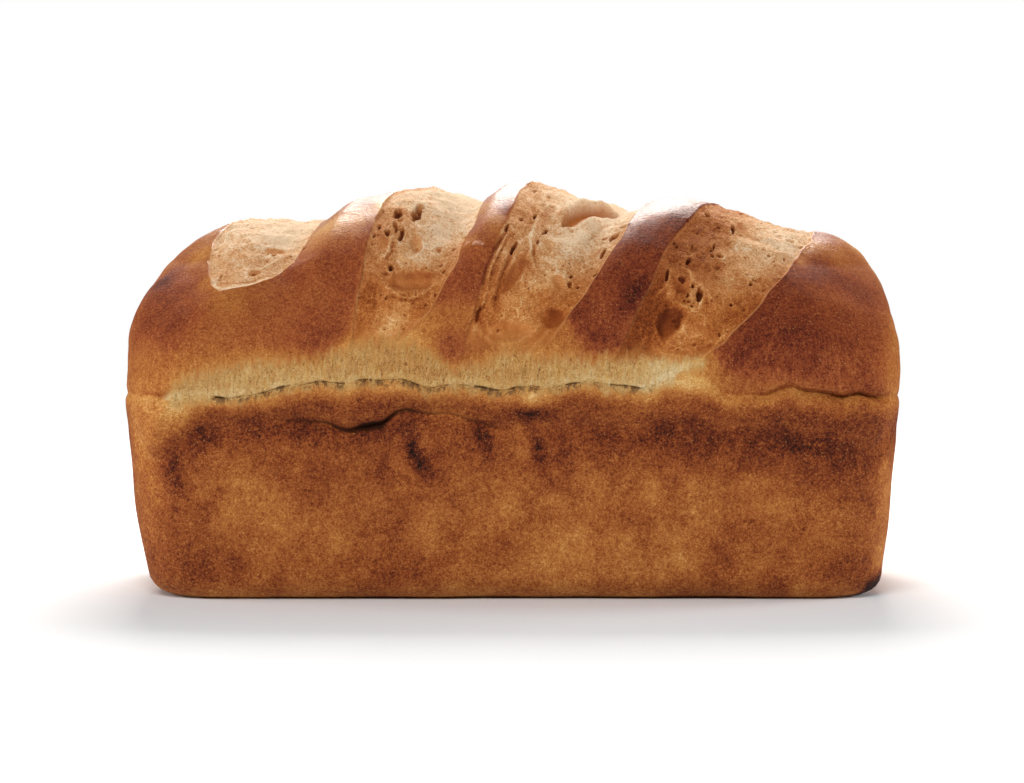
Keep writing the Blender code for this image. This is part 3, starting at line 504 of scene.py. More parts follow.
def waves(points, size, number=0, count=18):
    """Smooth unevenness of about this size, mostly between -1 and 1. Each number has its own plane waves."""
    random = np.random.default_rng(WAVE_SEED + number)
    height = np.zeros(len(points))
    for _ in range(count):
        way = random.normal(size=3)
        way *= 2.0 * np.pi * random.uniform(0.6, 1.5) / size / np.linalg.norm(way)
        height += np.sin(points @ way + random.uniform(0.0, 2.0 * np.pi))
    return height / np.sqrt(count)


def groove(distance, width):
    return np.exp(-((distance / width) ** 2))


# ---- plain form ----


def crest_height(x):
    return CREST - CREST_SAG * (x - CREST_X) ** 2


def wall_reach(z, widest, taper, power):
    """How far out a wall stands at a height: it leans in towards a rounded foot."""
    leaning = widest - taper * np.clip(1.0 - z / WAIST, 0.0, 1.0) ** power
    under = np.clip(1.0 - z / FOOT_RADIUS, 0.0, 1.0)
    return leaning - FOOT_RADIUS * (1.0 - np.sqrt(1.0 - under**2))


def rounding(rise, power):
    return 1.0 - (1.0 - rise**power) ** (1.0 / power)


def outside(points):
    """Below zero inside the plain form, and above zero outside it."""
    x, y, z = points.T
    rise = np.clip((z - WAIST) / (crest_height(x) - WAIST), 0.0, 1.0)
    left = wall_reach(z, HALF_LENGTH, LEFT_TAPER, LEFT_TAPER_POWER)
    right = wall_reach(z, HALF_LENGTH, RIGHT_TAPER, RIGHT_TAPER_POWER)
    left -= LEFT_BULGE * rounding(rise, LEFT_BULGE_POWER)
    right -= RIGHT_BULGE * rounding(rise, RIGHT_BULGE_POWER)
    length = np.where(x < 0.0, left, right)
    width = wall_reach(z, HALF_WIDTH, SIDE_TAPER, SIDE_TAPER_POWER)
    width *= 1.0 - rounding(rise, SIDE_BULGE_POWER)
    corner = np.minimum(np.minimum(CORNER_RADIUS + CORNER_GROWTH * rise, width), length)
    over_x = np.abs(x) - length + corner
    over_y = np.abs(y) - width + corner
    plan = np.hypot(np.maximum(over_x, 0.0), np.maximum(over_y, 0.0)) - corner
    plan += np.minimum(np.maximum(over_x, over_y), 0.0)
    return np.maximum(np.maximum(plan, -z), z - crest_height(x))


def box_lattice(nx, ny, nz):
    """The points on the surface of a box of nx by ny by nz cells, and its faces, all facing out."""
    inside = np.zeros((nx + 1, ny + 1, nz + 1), bool)
    inside[1:-1, 1:-1, 1:-1] = True
    cells = np.argwhere(~inside)
    index = np.full(inside.shape, -1)
    index[tuple(cells.T)] = np.arange(len(cells))
    faces = []
    for sheet, outward in (
        (index[0], False), (index[-1], True), (index[:, 0], True),
        (index[:, -1], False), (index[:, :, 0], False), (index[:, :, -1], True),
    ):
        quads = np.stack([sheet[:-1, :-1], sheet[1:, :-1], sheet[1:, 1:], sheet[:-1, 1:]], -1).reshape(-1, 4)
        faces.append(quads if outward else quads[:, ::-1])
    return cells / (nx, ny, nz), np.concatenate(faces)


def even_angles(t, low, high):
    """Places from low to high, seen from zero at even angles, for t from 0 to 1."""
    start, end = np.arctan(low), np.arctan(high)
    return np.tan(start + (end - start) * t)


def cast(share):
    """Casts a ray from the loaf's spine through each point of a box, given as shares of the box's sides."""
    top = (GUIDE_TOP - SPINE_HEIGHT) / HALF_WIDTH
    across = HALF_WIDTH * top * even_angles(share[:, 1], -1.0 / top, 1.0 / top)
    below = 2.0 * share[:, 2] * SPINE_HEIGHT
    above = SPINE_HEIGHT + HALF_WIDTH * even_angles(2.0 * share[:, 2] - 1.0, 0.0, top)
    up = np.where(share[:, 2] < 0.5, below, above)
    along = HALF_LENGTH * (2.0 * share[:, 0] - 1.0)
    start = np.stack([np.clip(along, -SPINE_HALF, SPINE_HALF), 0.0 * up, 0.0 * up + SPINE_HEIGHT], -1)
    ray = np.stack([along, across, up], -1) - start
    near, far = np.zeros(len(ray)), np.full(len(ray), RAY_REACH)
    for _ in range(HALVINGS):
        middle = 0.5 * (near + far)
        within = outside(start + middle[:, None] * ray) < 0.0
        near, far = np.where(within, middle, near), np.where(within, far, middle)
    return start + near[:, None] * ray


# ---- places on the surface ----


def climb_angle(points):
    """Degrees round the dome: 0 at the front rim, 90 on the crest, 180 at the back rim."""
    rise = (points[:, 2] - RIM) / (crest_height(points[:, 0]) - RIM)
    angle = np.degrees(np.arctan2(rise, -points[:, 1] / HALF_WIDTH))
    return np.where(angle < -90.0, angle + 360.0, angle)


def distance_to_edge(x, climb, knots):
    """Millimetres from places on the unrolled dome to the edge that runs through the knots."""
    nearest = np.full_like(x, np.inf)
    for (climb0, x0), (climb1, x1) in zip(knots, knots[1:]):
        run, rise = x1 - x0, (climb1 - climb0) * ARC
        over, up = x - x0, (climb - climb0) * ARC
        share = np.clip((over * run + up * rise) / (run * run + rise * rise), 0.0, 1.0)
        nearest = np.minimum(nearest, np.hypot(over - share * run, up - share * rise))
    return nearest


def fold_amount(x, climb, knots, width):
    """How strongly a fold along the knots counts, fading out at both ends, and which points are near it."""
    climbs, xs = zip(*knots)
    reach = 3.0 * width
    near = (x > min(xs) - reach) & (x < max(xs) + reach)
    near = np.flatnonzero(near & (climb > min(climbs) - reach) & (climb < max(climbs) + reach))
    x, climb = x[near], climb[near]
    ends = [np.hypot(x - end_x, (climb - end_climb) * ARC) for end_climb, end_x in (knots[0], knots[-1])]
    return groove(distance_to_edge(x, climb, knots), width) * ease(np.minimum(*ends) / (2.5 * width)), near


def slash_places(points):
    """For each slash: millimetres inside its left and right edge, the share across it, and its end fade."""
    x, climb = points[:, 0], climb_angle(points)
    x = x + EDGE_WANDER * waves(points, EDGE_WANDER_SIZE, 11)
    places = []
    for left, right, front_end in zip(SLASH_EDGES[::2], SLASH_EDGES[1::2], SLASH_FRONT_ENDS):
        left_x, right_x = line(climb, left), line(climb, right)
        started = climb > left[0][0]
        from_left = distance_to_edge(x, climb, left) * np.where(started & (x > left_x), 1.0, -1.0)
        from_right = distance_to_edge(x, climb, right) * np.where(started & (x < right_x), 1.0, -1.0)
        share = np.clip((x - left_x) / (right_x - left_x + 1e-6), 0.0, 1.0)
        ends = ease((climb - front_end) / SLASH_END_FADE) * ease((SLASH_BACK_END - climb) / SLASH_END_FADE)
        places.append((from_left, from_right, share, ends))
    return places


def tear_places(points):
    """The heights of crack, seam, fold and the lip's top, and how far the front, crack and crease count."""
    x, y, _ = points.T
    front = ease(-y / FRONT_BLEND) * ease((HALF_LENGTH - np.abs(x)) / FRONT_BLEND * 2.0)
    wander = CRACK_WANDER * waves(points * (1, 1, 0), CRACK_WANDER_SIZE, 3)
    crack = line(x, CRACK_LINE) + wander
    seam = RIM + front * (line(x, SEAM_LINE) - RIM) + wander
    fold = RIM - FOLD_DROP + front * (line(x, FOLD_LINE) - RIM + FOLD_DROP) + wander
    cracked = front * ease((x - CRACK_START) / TEAR_FADE) * ease((CRACK_END - x) / TEAR_FADE)
    creased = front * ease((x - SEAM_START) / TEAR_FADE)
    top = seam + cracked * (np.minimum(crack, LIP_TOP) - seam)
    return crack, seam, fold, top, front, cracked, creased


def small_pits():
    """Seeded pits like the listed ones, strewn over all four slashes, more of them near the left edges."""
    random = np.random.default_rng(SMALL_PIT_SEED)
    made = []
    for number in range(SMALL_PITS):
        left, right = SLASH_EDGES[number % 4 * 2], SLASH_EDGES[number % 4 * 2 + 1]
        climb = random.uniform(left[0][0] + SMALL_PIT_START, SLASH_BACK_END - SLASH_END_FADE)
        low, high = line(climb, left) + SMALL_PIT_MARGIN, line(climb, right) - SMALL_PIT_MARGIN
        x = low + (high - low) * random.uniform(0.0, 1.0) ** SMALL_PIT_CROWDING
        width = random.uniform(*SMALL_PIT_SIZE)
        length = width * random.uniform(1.0, 2.0)
        made.append((x, climb, length, width, SMALL_PIT_DEPTH * width, random.uniform(*SMALL_PIT_LEAN)))
    return made


def round_place(x, climb, spot, reach=1.0):
    """Where the points lie from a spot's middle, with 1 on its edge, and which of them are near it."""
    at_x, at_climb, length, width, _, lean = spot
    right, up = x - at_x, (climb - at_climb) * ARC
    near = np.flatnonzero(np.hypot(right, up) < reach * max(length, width))
    turn = np.radians(lean)
    along = (up[near] * np.cos(turn) + right[near] * np.sin(turn)) / (0.5 * length)
    across = (right[near] * np.cos(turn) - up[near] * np.sin(turn)) / (0.5 * width)
    return np.hypot(along, across), near


def hole_place(x, climb):
    """Places in the large hole: the share along it, -1 to 1, millimetres across it, and half its width."""
    (x0, climb0), (x1, climb1) = HOLE_START, HOLE_END
    run, rise = 0.5 * (x1 - x0), 0.5 * (climb1 - climb0) * ARC
    over, up = x - 0.5 * (x0 + x1), (climb - 0.5 * (climb0 + climb1)) * ARC
    half = math.hypot(run, rise)
    along = (over * run + up * rise) / half**2
    across = (up * run - over * rise) / half
    half_width = HOLE_HALF_WIDTH * np.clip(1.0 - along**2, 0.0, 1.0) ** HOLE_POWER
    return along, across, half_width


# ---- relief and masks ----


def patches(u, v, spots, stretch=1.0):
    """How strongly the patches lie over the places (u, v); stretch makes their second number millimetres."""
    amount = np.zeros_like(u)
    for at_u, at_v, length, width, lean, strength in spots:
        turn = np.radians(lean)
        along = ((v - at_v * stretch) * np.cos(turn) + (u - at_u) * np.sin(turn)) / (0.5 * length)
        across = ((u - at_u) * np.cos(turn) - (v - at_v * stretch) * np.sin(turn)) / (0.5 * width)
        amount += strength * np.exp(-PATCH_FALL * np.hypot(along, across) ** 2)
    return amount


def ridge_relief(points):
    """The rise and fall of the crest, carried down along the slashes."""
    x, climb = points[:, 0], climb_angle(points)
    starts = [start for start in RIDGE_STARTS for _ in range(2)]
    edges = [line(np.maximum(climb, start), knots) for start, knots in zip(starts, SLASH_EDGES)]
    tops = [line(90.0, knots) for knots in SLASH_EDGES]
    here = [np.full_like(x, -HALF_LENGTH), *edges, np.full_like(x, HALF_LENGTH)]
    there = [-HALF_LENGTH, *tops, HALF_LENGTH]
    on_crest = np.full_like(x, -HALF_LENGTH)  # where a strand through this point crosses the crest
    for left, right, top_left, top_right in zip(here, here[1:], there, there[1:]):
        on_crest += (top_right - top_left) * np.clip((x - left) / (right - left + 1e-6), 0.0, 1.0)
    from_rim = np.minimum(climb, 180.0 - climb)
    return eased_line(on_crest, RIDGES) * ease((from_rim - RIDGE_FOOT) / RIDGE_RAMP), on_crest


def slash_skin(points, masks):
    """Sinks the crumb between each slash's edges, with its lumps and strands."""
    x, climb = points[:, 0], climb_angle(points)
    height = np.zeros(len(points))
    masks["cut"] = np.full(len(points), -MASK_REACH)
    for name in ("melt", "fresh_light_and_shade", "strand", "rim"):
        masks[name] = np.zeros(len(points))
    masks["flow"] = np.zeros((len(points), 3))
    lumps = sum(tall * waves(points, size, 20 + k) for k, (tall, size) in enumerate(CRUMB_LUMPS))
    for number, (from_left, from_right, share, ends) in enumerate(slash_places(points)):
        within = np.minimum(from_left, from_right)
        sunk = ease(within / SLASH_EDGE_WIDTH + SLASH_EDGE_START) * ends
        flow = np.stack([from_left, climb * ARC, np.full_like(climb, number * FLOW_STEP)], -1)
        stranded = STRANDED[number] * sunk * fade(share, STRAND_SHARE)
        edge_rim = np.where(from_right < from_left, 1.0, LEFT_RIMS[number])
        rim = edge_rim * groove(within - 0.5 * RIM_WIDTH, RIM_WIDTH) * ends
        strands = waves(flow / (1, STRAND_STRETCH, 1), STRAND_SIZE, 30)
        height += sunk * (lumps - SLASH_DEPTH) + RIM_HEIGHT * rim + STRAND_HEIGHT * stranded * strands
        inside = within > masks["cut"]
        low, high = SLASH_FRESH[number]
        fresh_light_and_shade = low + (high - low) * ease(share * FRESH_ACROSS)
        # the crumb is painted paler on the crest: painted light from above
        fresh_light_and_shade += CREST_PAINTED_LIGHT * fade(climb, CREST_PAINTED_LIGHT_CLIMB) - BACK_BROWN * fade(climb, BACK_BROWN_CLIMB)
        fresh_light_and_shade -= FRONT_BROWN[number] * fade(climb, FRONT_BROWN_CLIMB)
        fresh_light_and_shade -= RIGHT_BROWN * fade(share, RIGHT_BROWN_SHARE) * fade(climb, RIGHT_BROWN_CLIMB) * (number > 0)
        masks["cut"] = np.where(inside, within, masks["cut"])
        # the crumb's tone, with painted light on the crest and painted shade of hollows, folds and patches
        # added to it
        for name, values in (("melt", ends), ("fresh_light_and_shade", fresh_light_and_shade), ("strand", stranded), ("rim", edge_rim)):
            masks[name] = np.where(inside, values, masks[name])
        masks["flow"] = np.where(inside[:, None], flow, masks["flow"])
    # patches of the crumb's tone, painted shade among them
    masks["fresh_light_and_shade"] += patches(x, climb * ARC, CRUMB_TONE_AND_SHADE_PATCHES, ARC)
    masks["gold"] = fade(climb, GOLD_CLIMB) * fade(climb, GOLD_FOOT) * (x > GOLD_LEFT)
    return height


def tear_skin(points, masks):
    """The shred and the torn crack on the front, the seam round the ends and back, and the lip below."""
    x, _, z = points.T
    crack, seam, fold, top, front, cracked, creased = tear_places(points)
    flat = points * (1, 1, 0)
    breaks = np.clip(1.0 + 0.5 * waves(flat, CRACK_BREAKS, 41), CRACK_LEAST, CRACK_MOST)
    presence = line(x, CRACK_OPEN) * breaks
    gape = line(x, GAP_LINE) * creased
    height = -CRACK_DEPTH * cracked * (0.1 + presence) * groove(z - crack, CRACK_WIDTH)
    height -= (CREASE_DEPTH * creased + SEAM_DEPTH * (1.0 - front)) * groove(z - seam, CREASE_WIDTH)
    height -= GAP_DEPTH * gape * groove(z - seam, 0.5 * CREASE_WIDTH)

    below_top = (line(x, SHRED_TOP) - climb_angle(points)) * ARC
    below_top += SHRED_RAGGED * waves(points * (1, 1, 0.4), SHRED_RAGGED_SIZE, 42)
    shredded = ease((z - crack) / SHRED_FOOT) * ease(below_top / SHRED_EDGE) * cracked
    fibres = waves(points / (1, 1, FIBRE_STRETCH), FIBRE_SIZE, 40)
    height += shredded * (FIBRE_HEIGHT * fibres - SHRED_DEPTH)

    lip = LIP_AROUND + front * (LIP_HEIGHT - LIP_AROUND)
    height += lip * ease((top - z) / LIP_EDGE) * ease((z - fold) / (top - fold))
    height -= FOLD_DEPTH * lip / LIP_HEIGHT * groove(z - fold, FOLD_WIDTH)
    split = line(x, FOLD_SPLIT) * front
    height -= FOLD_SPLIT_DEPTH * split * groove(z - fold, FOLD_SPLIT_WIDTH)
    height += front * WRINKLE_HEIGHT * patches(x, z, [(*wrinkle, 1.0) for wrinkle in WRINKLES])

    under = crack - z
    in_tear = x < SEAM_START - 0.5 * TEAR_FADE
    dough = DOUGH_DROP + DOUGH_VARIES * waves(flat, DOUGH_SIZE, 45)
    # these masks place the painted shade of the torn holes, the crack's gap and the gash of the split fold
    masks["torn"] = cracked * presence
    masks["crack"] = np.clip(np.where(in_tear, z - crack, z - seam), -MASK_REACH, MASK_REACH)
    masks["open"] = np.where(in_tear, cracked * presence, gape)
    masks["split"] = np.clip(z - fold, -MASK_REACH, MASK_REACH)
    masks["gash_shade"] = split
    shred = np.where(z > crack, below_top, 2.0 * (dough - under))
    masks["shred"] = shred * cracked + NO_SHRED * (1.0 - cracked)
    masks["pale"] = line(x, SHRED_PALE) - CRACK_DARKER * ease(under / CRACK_DARKER_DEPTH)
    masks["pale"] += CRACK_PALER * groove(under + CRACK_PALER_HEIGHT, CRACK_PALER_WIDTH)
    masks["tearing"] = fade(climb_angle(points), TEARING_CLIMB) * ease((z - top) / 2.0) * front
    return height


def pit_skin(points, masks):
    """Hollows, open pits, the large hole with its flap, and the torn flake."""
    x, climb = points[:, 0], climb_angle(points)
    height = np.zeros(len(points))
    for name in ("pit_shade", "hole", "fold", "flake", "smooth"):
        masks[name] = np.zeros(len(points))
    uneven = PIT_UNEVEN * waves(points, PIT_UNEVEN_SIZE, 60)
    for *spot, tone in HOLLOWS:
        share, near = round_place(x, climb, spot, 1.4)
        share = share + 0.4 * uneven[near]
        height[near] -= spot[4] * fall_off(share, HOLLOW_SLOPE)
        hollow = fall_off(share, HOLLOW_SKIN_SLOPE)
        # darker skin in the hollows: partly browner skin, partly painted shade
        masks["fresh_light_and_shade"][near] += tone * hollow
        masks["smooth"][near] = np.maximum(masks["smooth"][near], hollow * min(1.0, spot[4]))
    for width, tall, tone, knots in FOLDS:
        amount, near = fold_amount(x, climb, knots, width)
        height[near] += tall * amount
        # folds are painted paler and creases darker: painted light and shade
        masks["fresh_light_and_shade"][near] += tone * amount
        masks["fold"][near] += tone * amount
    for spot in (*PITS, *small_pits()):
        share, near = round_place(x, climb, spot, 1.6)
        share = share + uneven[near]
        sunk = fall_off(share, PIT_SLOPE)
        rim = groove(share - PIT_RIM_PLACE, PIT_RIM_WIDTH)
        height[near] += PIT_RIM * spot[3] * rim - spot[4] * sunk
        # how much painted shade the material puts in the pit, more in deeper ones
        masks["pit_shade"][near] = np.maximum(masks["pit_shade"][near], sunk * min(1.0, 0.25 + 0.5 * spot[4]))
        masks["fresh_light_and_shade"][near] += PIT_RIM_PALER * rim

    along, across, half_width = hole_place(x, climb)
    lens = np.clip(1.0 - along**2, 0.0, 1.0)
    share = np.clip(across / (half_width + 1e-6), -MASK_REACH, MASK_REACH)
    inside = fade(share, HOLE_NEAR_WALL) * fade(share, HOLE_FAR_WALL) * (lens > 0.0)
    height -= HOLE_DEPTH * lens**0.6 * inside
    flap = groove(across - half_width - 0.5 * FLAP_WIDTH, FLAP_WIDTH) * (lens > 0.0)
    height += FLAP_HEIGHT * lens**0.5 * flap
    masks["hole"] = inside * lens**0.5 * fade(along, (-1.0, -0.5))
    masks["fresh_light_and_shade"] -= HOLE_BROWN * inside * fade(along, (0.0, -0.9))

    amount, near = fold_amount(x, climb + 2.0 * uneven, FLAKE_LINE, FLAKE_WIDTH)
    height[near] += FLAKE_HEIGHT * amount
    masks["flake"][near] = amount
    return height


def bake_mask(points, on_crest):
    """How baked the crust is: 0 is pale dough and 1 is burnt. Painted light and shade go into it too:
    shade under the lip and in the right crease, light at the ends and the foot, highlight along the crest.
    """
    x, _, z = points.T
    climb = climb_angle(points)
    _, _, fold, top, front, cracked, _ = tear_places(points)
    uneven = sum(waves(points, size, 50 + k) for k, size in enumerate(BAKE_UNEVEN_SIZES))
    uneven *= BAKE_UNEVEN
    low_climb = np.minimum(climb, 180.0 - climb)
    golden = ease((line(x, GOLDEN_TOP) + 0.4 * GOLDEN_FADE - low_climb) / GOLDEN_FADE)
    dome = line(on_crest, CREST_BAKE) + 0.4 * uneven
    # the crust is painted paler along the crest: painted highlight
    dome -= CREST_HIGHLIGHT_PALER * fade(low_climb, CREST_HIGHLIGHT_CLIMB)
    # the dome's patches, painted highlight near the crest among them
    dome += (np.minimum(dome, GOLDEN_BAKE) - dome) * golden + patches(x, climb * ARC, DOME_BAKE_AND_HIGHLIGHT_PATCHES, ARC)
    above_tear = climb - line(x, SHRED_TOP)
    dome -= TORN_PALER * cracked * ease((TORN_PALER_REACH - above_tear) / TORN_PALER_FADE)
    # darker under the lip: partly more baked, partly painted shade
    under_lip = groove(z - fold + UNDER_LIP_DROP, UNDER_LIP_WIDTH) * fade(z, UNDER_LIP_HEIGHT)
    wall = WALL_BAKE + uneven + UNDER_LIP_BAKE_AND_SHADE * under_lip
    # the foot is painted paler: painted light against the shade of the floor
    wall += FOOT_PAINTED_LIGHT * ease(1.0 - z / FOOT_PAINTED_LIGHT_HEIGHT)
    # the pale patches lighten the wall, painted light at its ends among them; the scorched ones darken it,
    # painted shadow under the lip among them
    paler = front * patches(x, z, PALE_AND_LIT_PATCHES)
    wall += front * SCORCH_LIMIT * np.tanh(patches(x, z, SCORCHES_AND_LIP_SHADOW) / SCORCH_LIMIT) - paler
    lip = LIP_BAKE - LIP_EDGE_PALER * ease(1.0 - (top - z) / LIP_EDGE_FADE) + 0.6 * (uneven - paler)
    on_lip = ease((z - fold) / LIP_FADE) * (LIP_BAKE_AROUND + (1.0 - LIP_BAKE_AROUND) * front)
    wall = wall + (lip - wall) * on_lip
    # the burnt patches darken it too, painted shade in the right seam's crease among them
    bake_light_and_shade = wall + (dome - wall) * ease((z - top) / 1.5 + 0.5) + front * patches(x, z, BURNS_AND_CREASE_SHADE)
    burnt = np.linalg.norm((points - BURNT_CORNER) * (1.0, 1.0, 1.3), axis=1)
    burnt += BURNT_RAGGED * waves(points, BURNT_RAGGED_SIZE, 52)
    return np.clip(bake_light_and_shade + BURNT_BAKE * ease((BURNT_REACH - burnt) / BURNT_FADE), 0.0, 1.0)


def skin(points, out):
    """The points raised or sunk along their normals, and the masks that colour them."""
    masks = {}
    wall = ease(points[:, 2] / (2.0 * FOOT_RADIUS))
    height, on_crest = ridge_relief(points)
    height += slash_skin(points, masks) + tear_skin(points, masks) + pit_skin(points, masks)
    height += WAVE_HEIGHT * waves(points, WAVE_SIZE)
    height += CRAG_HEIGHT * waves(points, CRAG_SIZE, 1) * ease((points[:, 2] - RIM) / 10.0)
    # how baked the crust is, with painted light and shade in it
    masks["bake_light_and_shade"] = bake_mask(points, on_crest)
    masks["dome"] = ease((points[:, 2] - RIM) / 3.0)
    climb = climb_angle(points)
    masks["gloss"] = fade(np.minimum(climb, 180.0 - climb), GLOSS_CLIMB)
    masks["gloss"] *= 1.0 - END_DULL * fade(np.abs(points[:, 0]), END_DULL_X)
    masks["gloss"] *= 1.0 - np.clip(patches(points[:, 0], climb * ARC, DULL_PATCHES, ARC), 0.0, 1.0)
    moved = points + out * (height * wall)[:, None]
    at_edge = ease((np.abs(moved[:, 1]) - HALF_WIDTH + SIDE_TAPER + FOOT_MARGIN) / FOOT_MARGIN)
    lift = np.clip(waves(moved * (1, 1, 0), FOOT_LIFT_SIZE, 2), 0.0, 1.0)
    moved[:, 2] += FOOT_LIFT * lift * at_edge * ease(1.0 - moved[:, 2] / FOOT_MARGIN)
    moved[:, 2] = np.maximum(moved[:, 2], 0.0)
    return moved, masks


# ---- mesh ----


def in_slash(points, margin):
    """Which points lie in a slash, or within this many millimetres outside it."""
    inside = np.zeros(len(points), bool)
    for from_left, from_right, _, ends in slash_places(points):
        inside |= (np.minimum(from_left, from_right) > -margin) & (ends > 0.0)
    return inside


def coarse_want(points):
    """Where the lattice is halved once: the front of the dome, the lip and the slashes."""
    _, y, z = points.T
    _, seam, fold, *_ = tear_places(points)
    want = (y < 6.0) & (z > fold - 4.0)
    want |= np.abs(z - seam) < 2.5
    return want | in_slash(points, 1.5)


def fine_want(points):
    """Where it is halved again: the crack, the shred and the slashes' front halves."""
    x, _, z = points.T
    climb = climb_angle(points)
    crack, seam, fold, _, front, cracked, creased = tear_places(points)
    want = (np.abs(z - crack) < 3.0) & (cracked > 0.1)
    want |= (z > crack) & (climb < line(x, SHRED_TOP) + 1.0) & (cracked > 0.1)
    want |= (np.abs(z - seam) < 2.0) & (creased > 0.1)
    want |= (np.abs(z - fold) < 1.8) & (line(x, FOLD_SPLIT) > 0.05) & (front > 0.1)
    want |= in_slash(points, 1.0) & (climb < 92.0)
    along, across, _ = hole_place(x, climb)
    return want | ((np.abs(along) < 1.1) & (np.abs(across) < 8.0))


def finest_want(points):
    """Where it is halved a third time: the crack's line, slashes' edges, the hole, folds and larger pits."""
    x, _, z = points.T
    climb = climb_angle(points)
    crack, _, _, _, _, cracked, _ = tear_places(points)
    want = (z - crack < 0.8) & (z - crack > -2.4) & (cracked > 0.3)
    for from_left, from_right, _, ends in slash_places(points):
        within = np.minimum(from_left, from_right)
        want |= (within > -0.4) & (within < 0.8) & (ends > 0.4) & (climb < 76.0)
    along, across, half_width = hole_place(x, climb)
    want |= (np.abs(along) < 0.95) & (across > 0.0) & (across < half_width + 2.5)
    for spot in PITS:
        share, near = round_place(x, climb, spot, 1.3)
        want[near[(share < 1.5) & (spot[4] > 0.75)]] = True
    for width, _, _, knots in FOLDS:
        amount, near = fold_amount(x, climb, knots, width)
        want[near[amount > 0.3]] = True
    return want


def halve(lattice, want):
    """Cuts every face whose middle is wanted into four."""
    middles = cast(np.array([face.calc_center_median()[:] for face in lattice.faces]))
    faces = [face for face, picked in zip(lattice.faces, want(middles)) if picked]
    edges = list({edge for face in faces for edge in face.edges})
    bmesh.ops.subdivide_edges(lattice, edges=edges, cuts=1, use_grid_fill=True)


def loaf_mesh():
    """The loaf's surface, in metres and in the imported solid's box, with its masks as attributes."""
    share, faces = box_lattice(LENGTH_STEPS, WIDTH_STEPS, HEIGHT_STEPS)
    mesh = bpy.data.meshes.new("loaf_crust")
    mesh.from_pydata(share.tolist(), [], faces.tolist())
    lattice = bmesh.new()
    lattice.from_mesh(mesh)
    for want in (coarse_want, fine_want, finest_want):
        halve(lattice, want)
    bmesh.ops.triangulate(lattice, faces=[face for face in lattice.faces if len(face.verts) > 4])
    lattice.to_mesh(mesh)
    lattice.free()
    share = np.empty(3 * len(mesh.vertices))
    mesh.vertices.foreach_get("co", share)
    plain = cast(share.reshape(-1, 3))
    mesh.vertices.foreach_set("co", plain.ravel())
    mesh.update()
    out = np.empty(3 * len(mesh.vertices))
    mesh.vertex_normals.foreach_get("vector", out)
    points, masks = skin(plain, out.reshape(-1, 3))
    low, high = (np.array(corner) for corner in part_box("loaf"))
    own_low, own_high = points.min(axis=0), points.max(axis=0)
    points = low + (points - own_low) * (high - low) / (own_high - own_low)
    mesh.vertices.foreach_set("co", points.ravel())
    for name, values in masks.items():
        if values.ndim == 2:
            mesh.attributes.new(name, "FLOAT_VECTOR", "POINT").data.foreach_set("vector", values.ravel())
        else:
            mesh.attributes.new(name, "FLOAT", "POINT").data.foreach_set("value", values)
    mesh.shade_smooth()
    mesh.update()
    return mesh


# ---- material ----


def add_object(name, data):
    thing = bpy.data.objects.new(name, data)
    bpy.context.scene.collection.objects.link(thing)
    return thing


def colour(red, green, blue):
    """A linear colour from sRGB values of 0 to 255."""
    srgb = np.array([red, green, blue]) / 255.0
    linear = np.where(srgb <= 0.04045, srgb / 12.92, ((srgb + 0.055) / 1.055) ** 2.4)
    return (*linear.tolist(), 1.0)


class Nodes:
    """Short calls that add nodes to one material, or to the surroundings."""

    def __init__(self, owner):
        owner.use_nodes = True
        self.tree = owner.node_tree

    def add(self, kind, inputs, **settings):
        node = self.tree.nodes.new("ShaderNode" + kind)
        for name, value in settings.items():
            setattr(node, name, value)
        for name, value in inputs.items():
            self.plug(value, node.inputs[name])
        return node

    def plug(self, value, socket):
        if isinstance(value, bpy.types.NodeSocket):
            self.tree.links.new(value, socket)
        else:
            socket.default_value = value

    def math(self, operation, *values, clamp=False):
        return self.add("Math", dict(enumerate(values)), operation=operation, use_clamp=clamp).outputs[0]

    def mask(self, name, output="Fac"):
        return self.add("Attribute", {}, attribute_name=name).outputs[output]

    def stretched(self, vector, x, y, z):
        return self.add("VectorMath", {0: vector, 1: (x, y, z)}, operation="MULTIPLY").outputs[0]

    def noise(self, vector, size, detail=2.0, roughness=0.5):
        """Noise of about this size, from -1 to 1 round 0."""
        inputs = {"Vector": vector, "Scale": 1.0 / size, "Detail": detail, "Roughness": roughness}
        return self.math("MULTIPLY_ADD", self.add("TexNoise", inputs).outputs["Fac"], 4.0, -2.0)

    def cells(self, vector, size, feature="F1"):
        inputs = {"Vector": vector, "Scale": 1.0 / size}
        return self.add("TexVoronoi", inputs, feature=feature).outputs["Distance"]

    def span(self, value, low, high, to_low=0.0, to_high=1.0):
        inputs = {"Value": value, "From Min": low, "From Max": high, "To Min": to_low, "To Max": to_high}
        return self.add("MapRange", inputs).outputs[0]

    def ramp(self, value, stops):
        node = self.add("ValToRGB", {"Fac": value})
        elements = node.color_ramp.elements
        while len(elements) < len(stops):
            elements.new(0.5)
        for element, (place, shade) in zip(elements, stops):
            element.position = place
            element.color = colour(*shade)
        return node.outputs["Color"]

    def mix(self, share, under, over, blend="MIX"):
        node = self.tree.nodes.new("ShaderNodeMix")
        node.data_type = "RGBA"
        node.blend_type = blend
        self.plug(share, node.inputs[0])
        self.plug(under, node.inputs[6])
        self.plug(over, node.inputs[7])
        return node.outputs[2]

    def times(self, *values):
        first, *rest = values
        for value in rest:
            first = self.math("MULTIPLY", first, value)
        return first

    def total(self, *values):
        first, *rest = values
        for value in rest:
            first = self.math("ADD", first, value)
        return first

    def blend(self, share, under, over):
        return self.add("Mix", {0: share, 2: under, 3: over}, data_type="FLOAT").outputs[0]


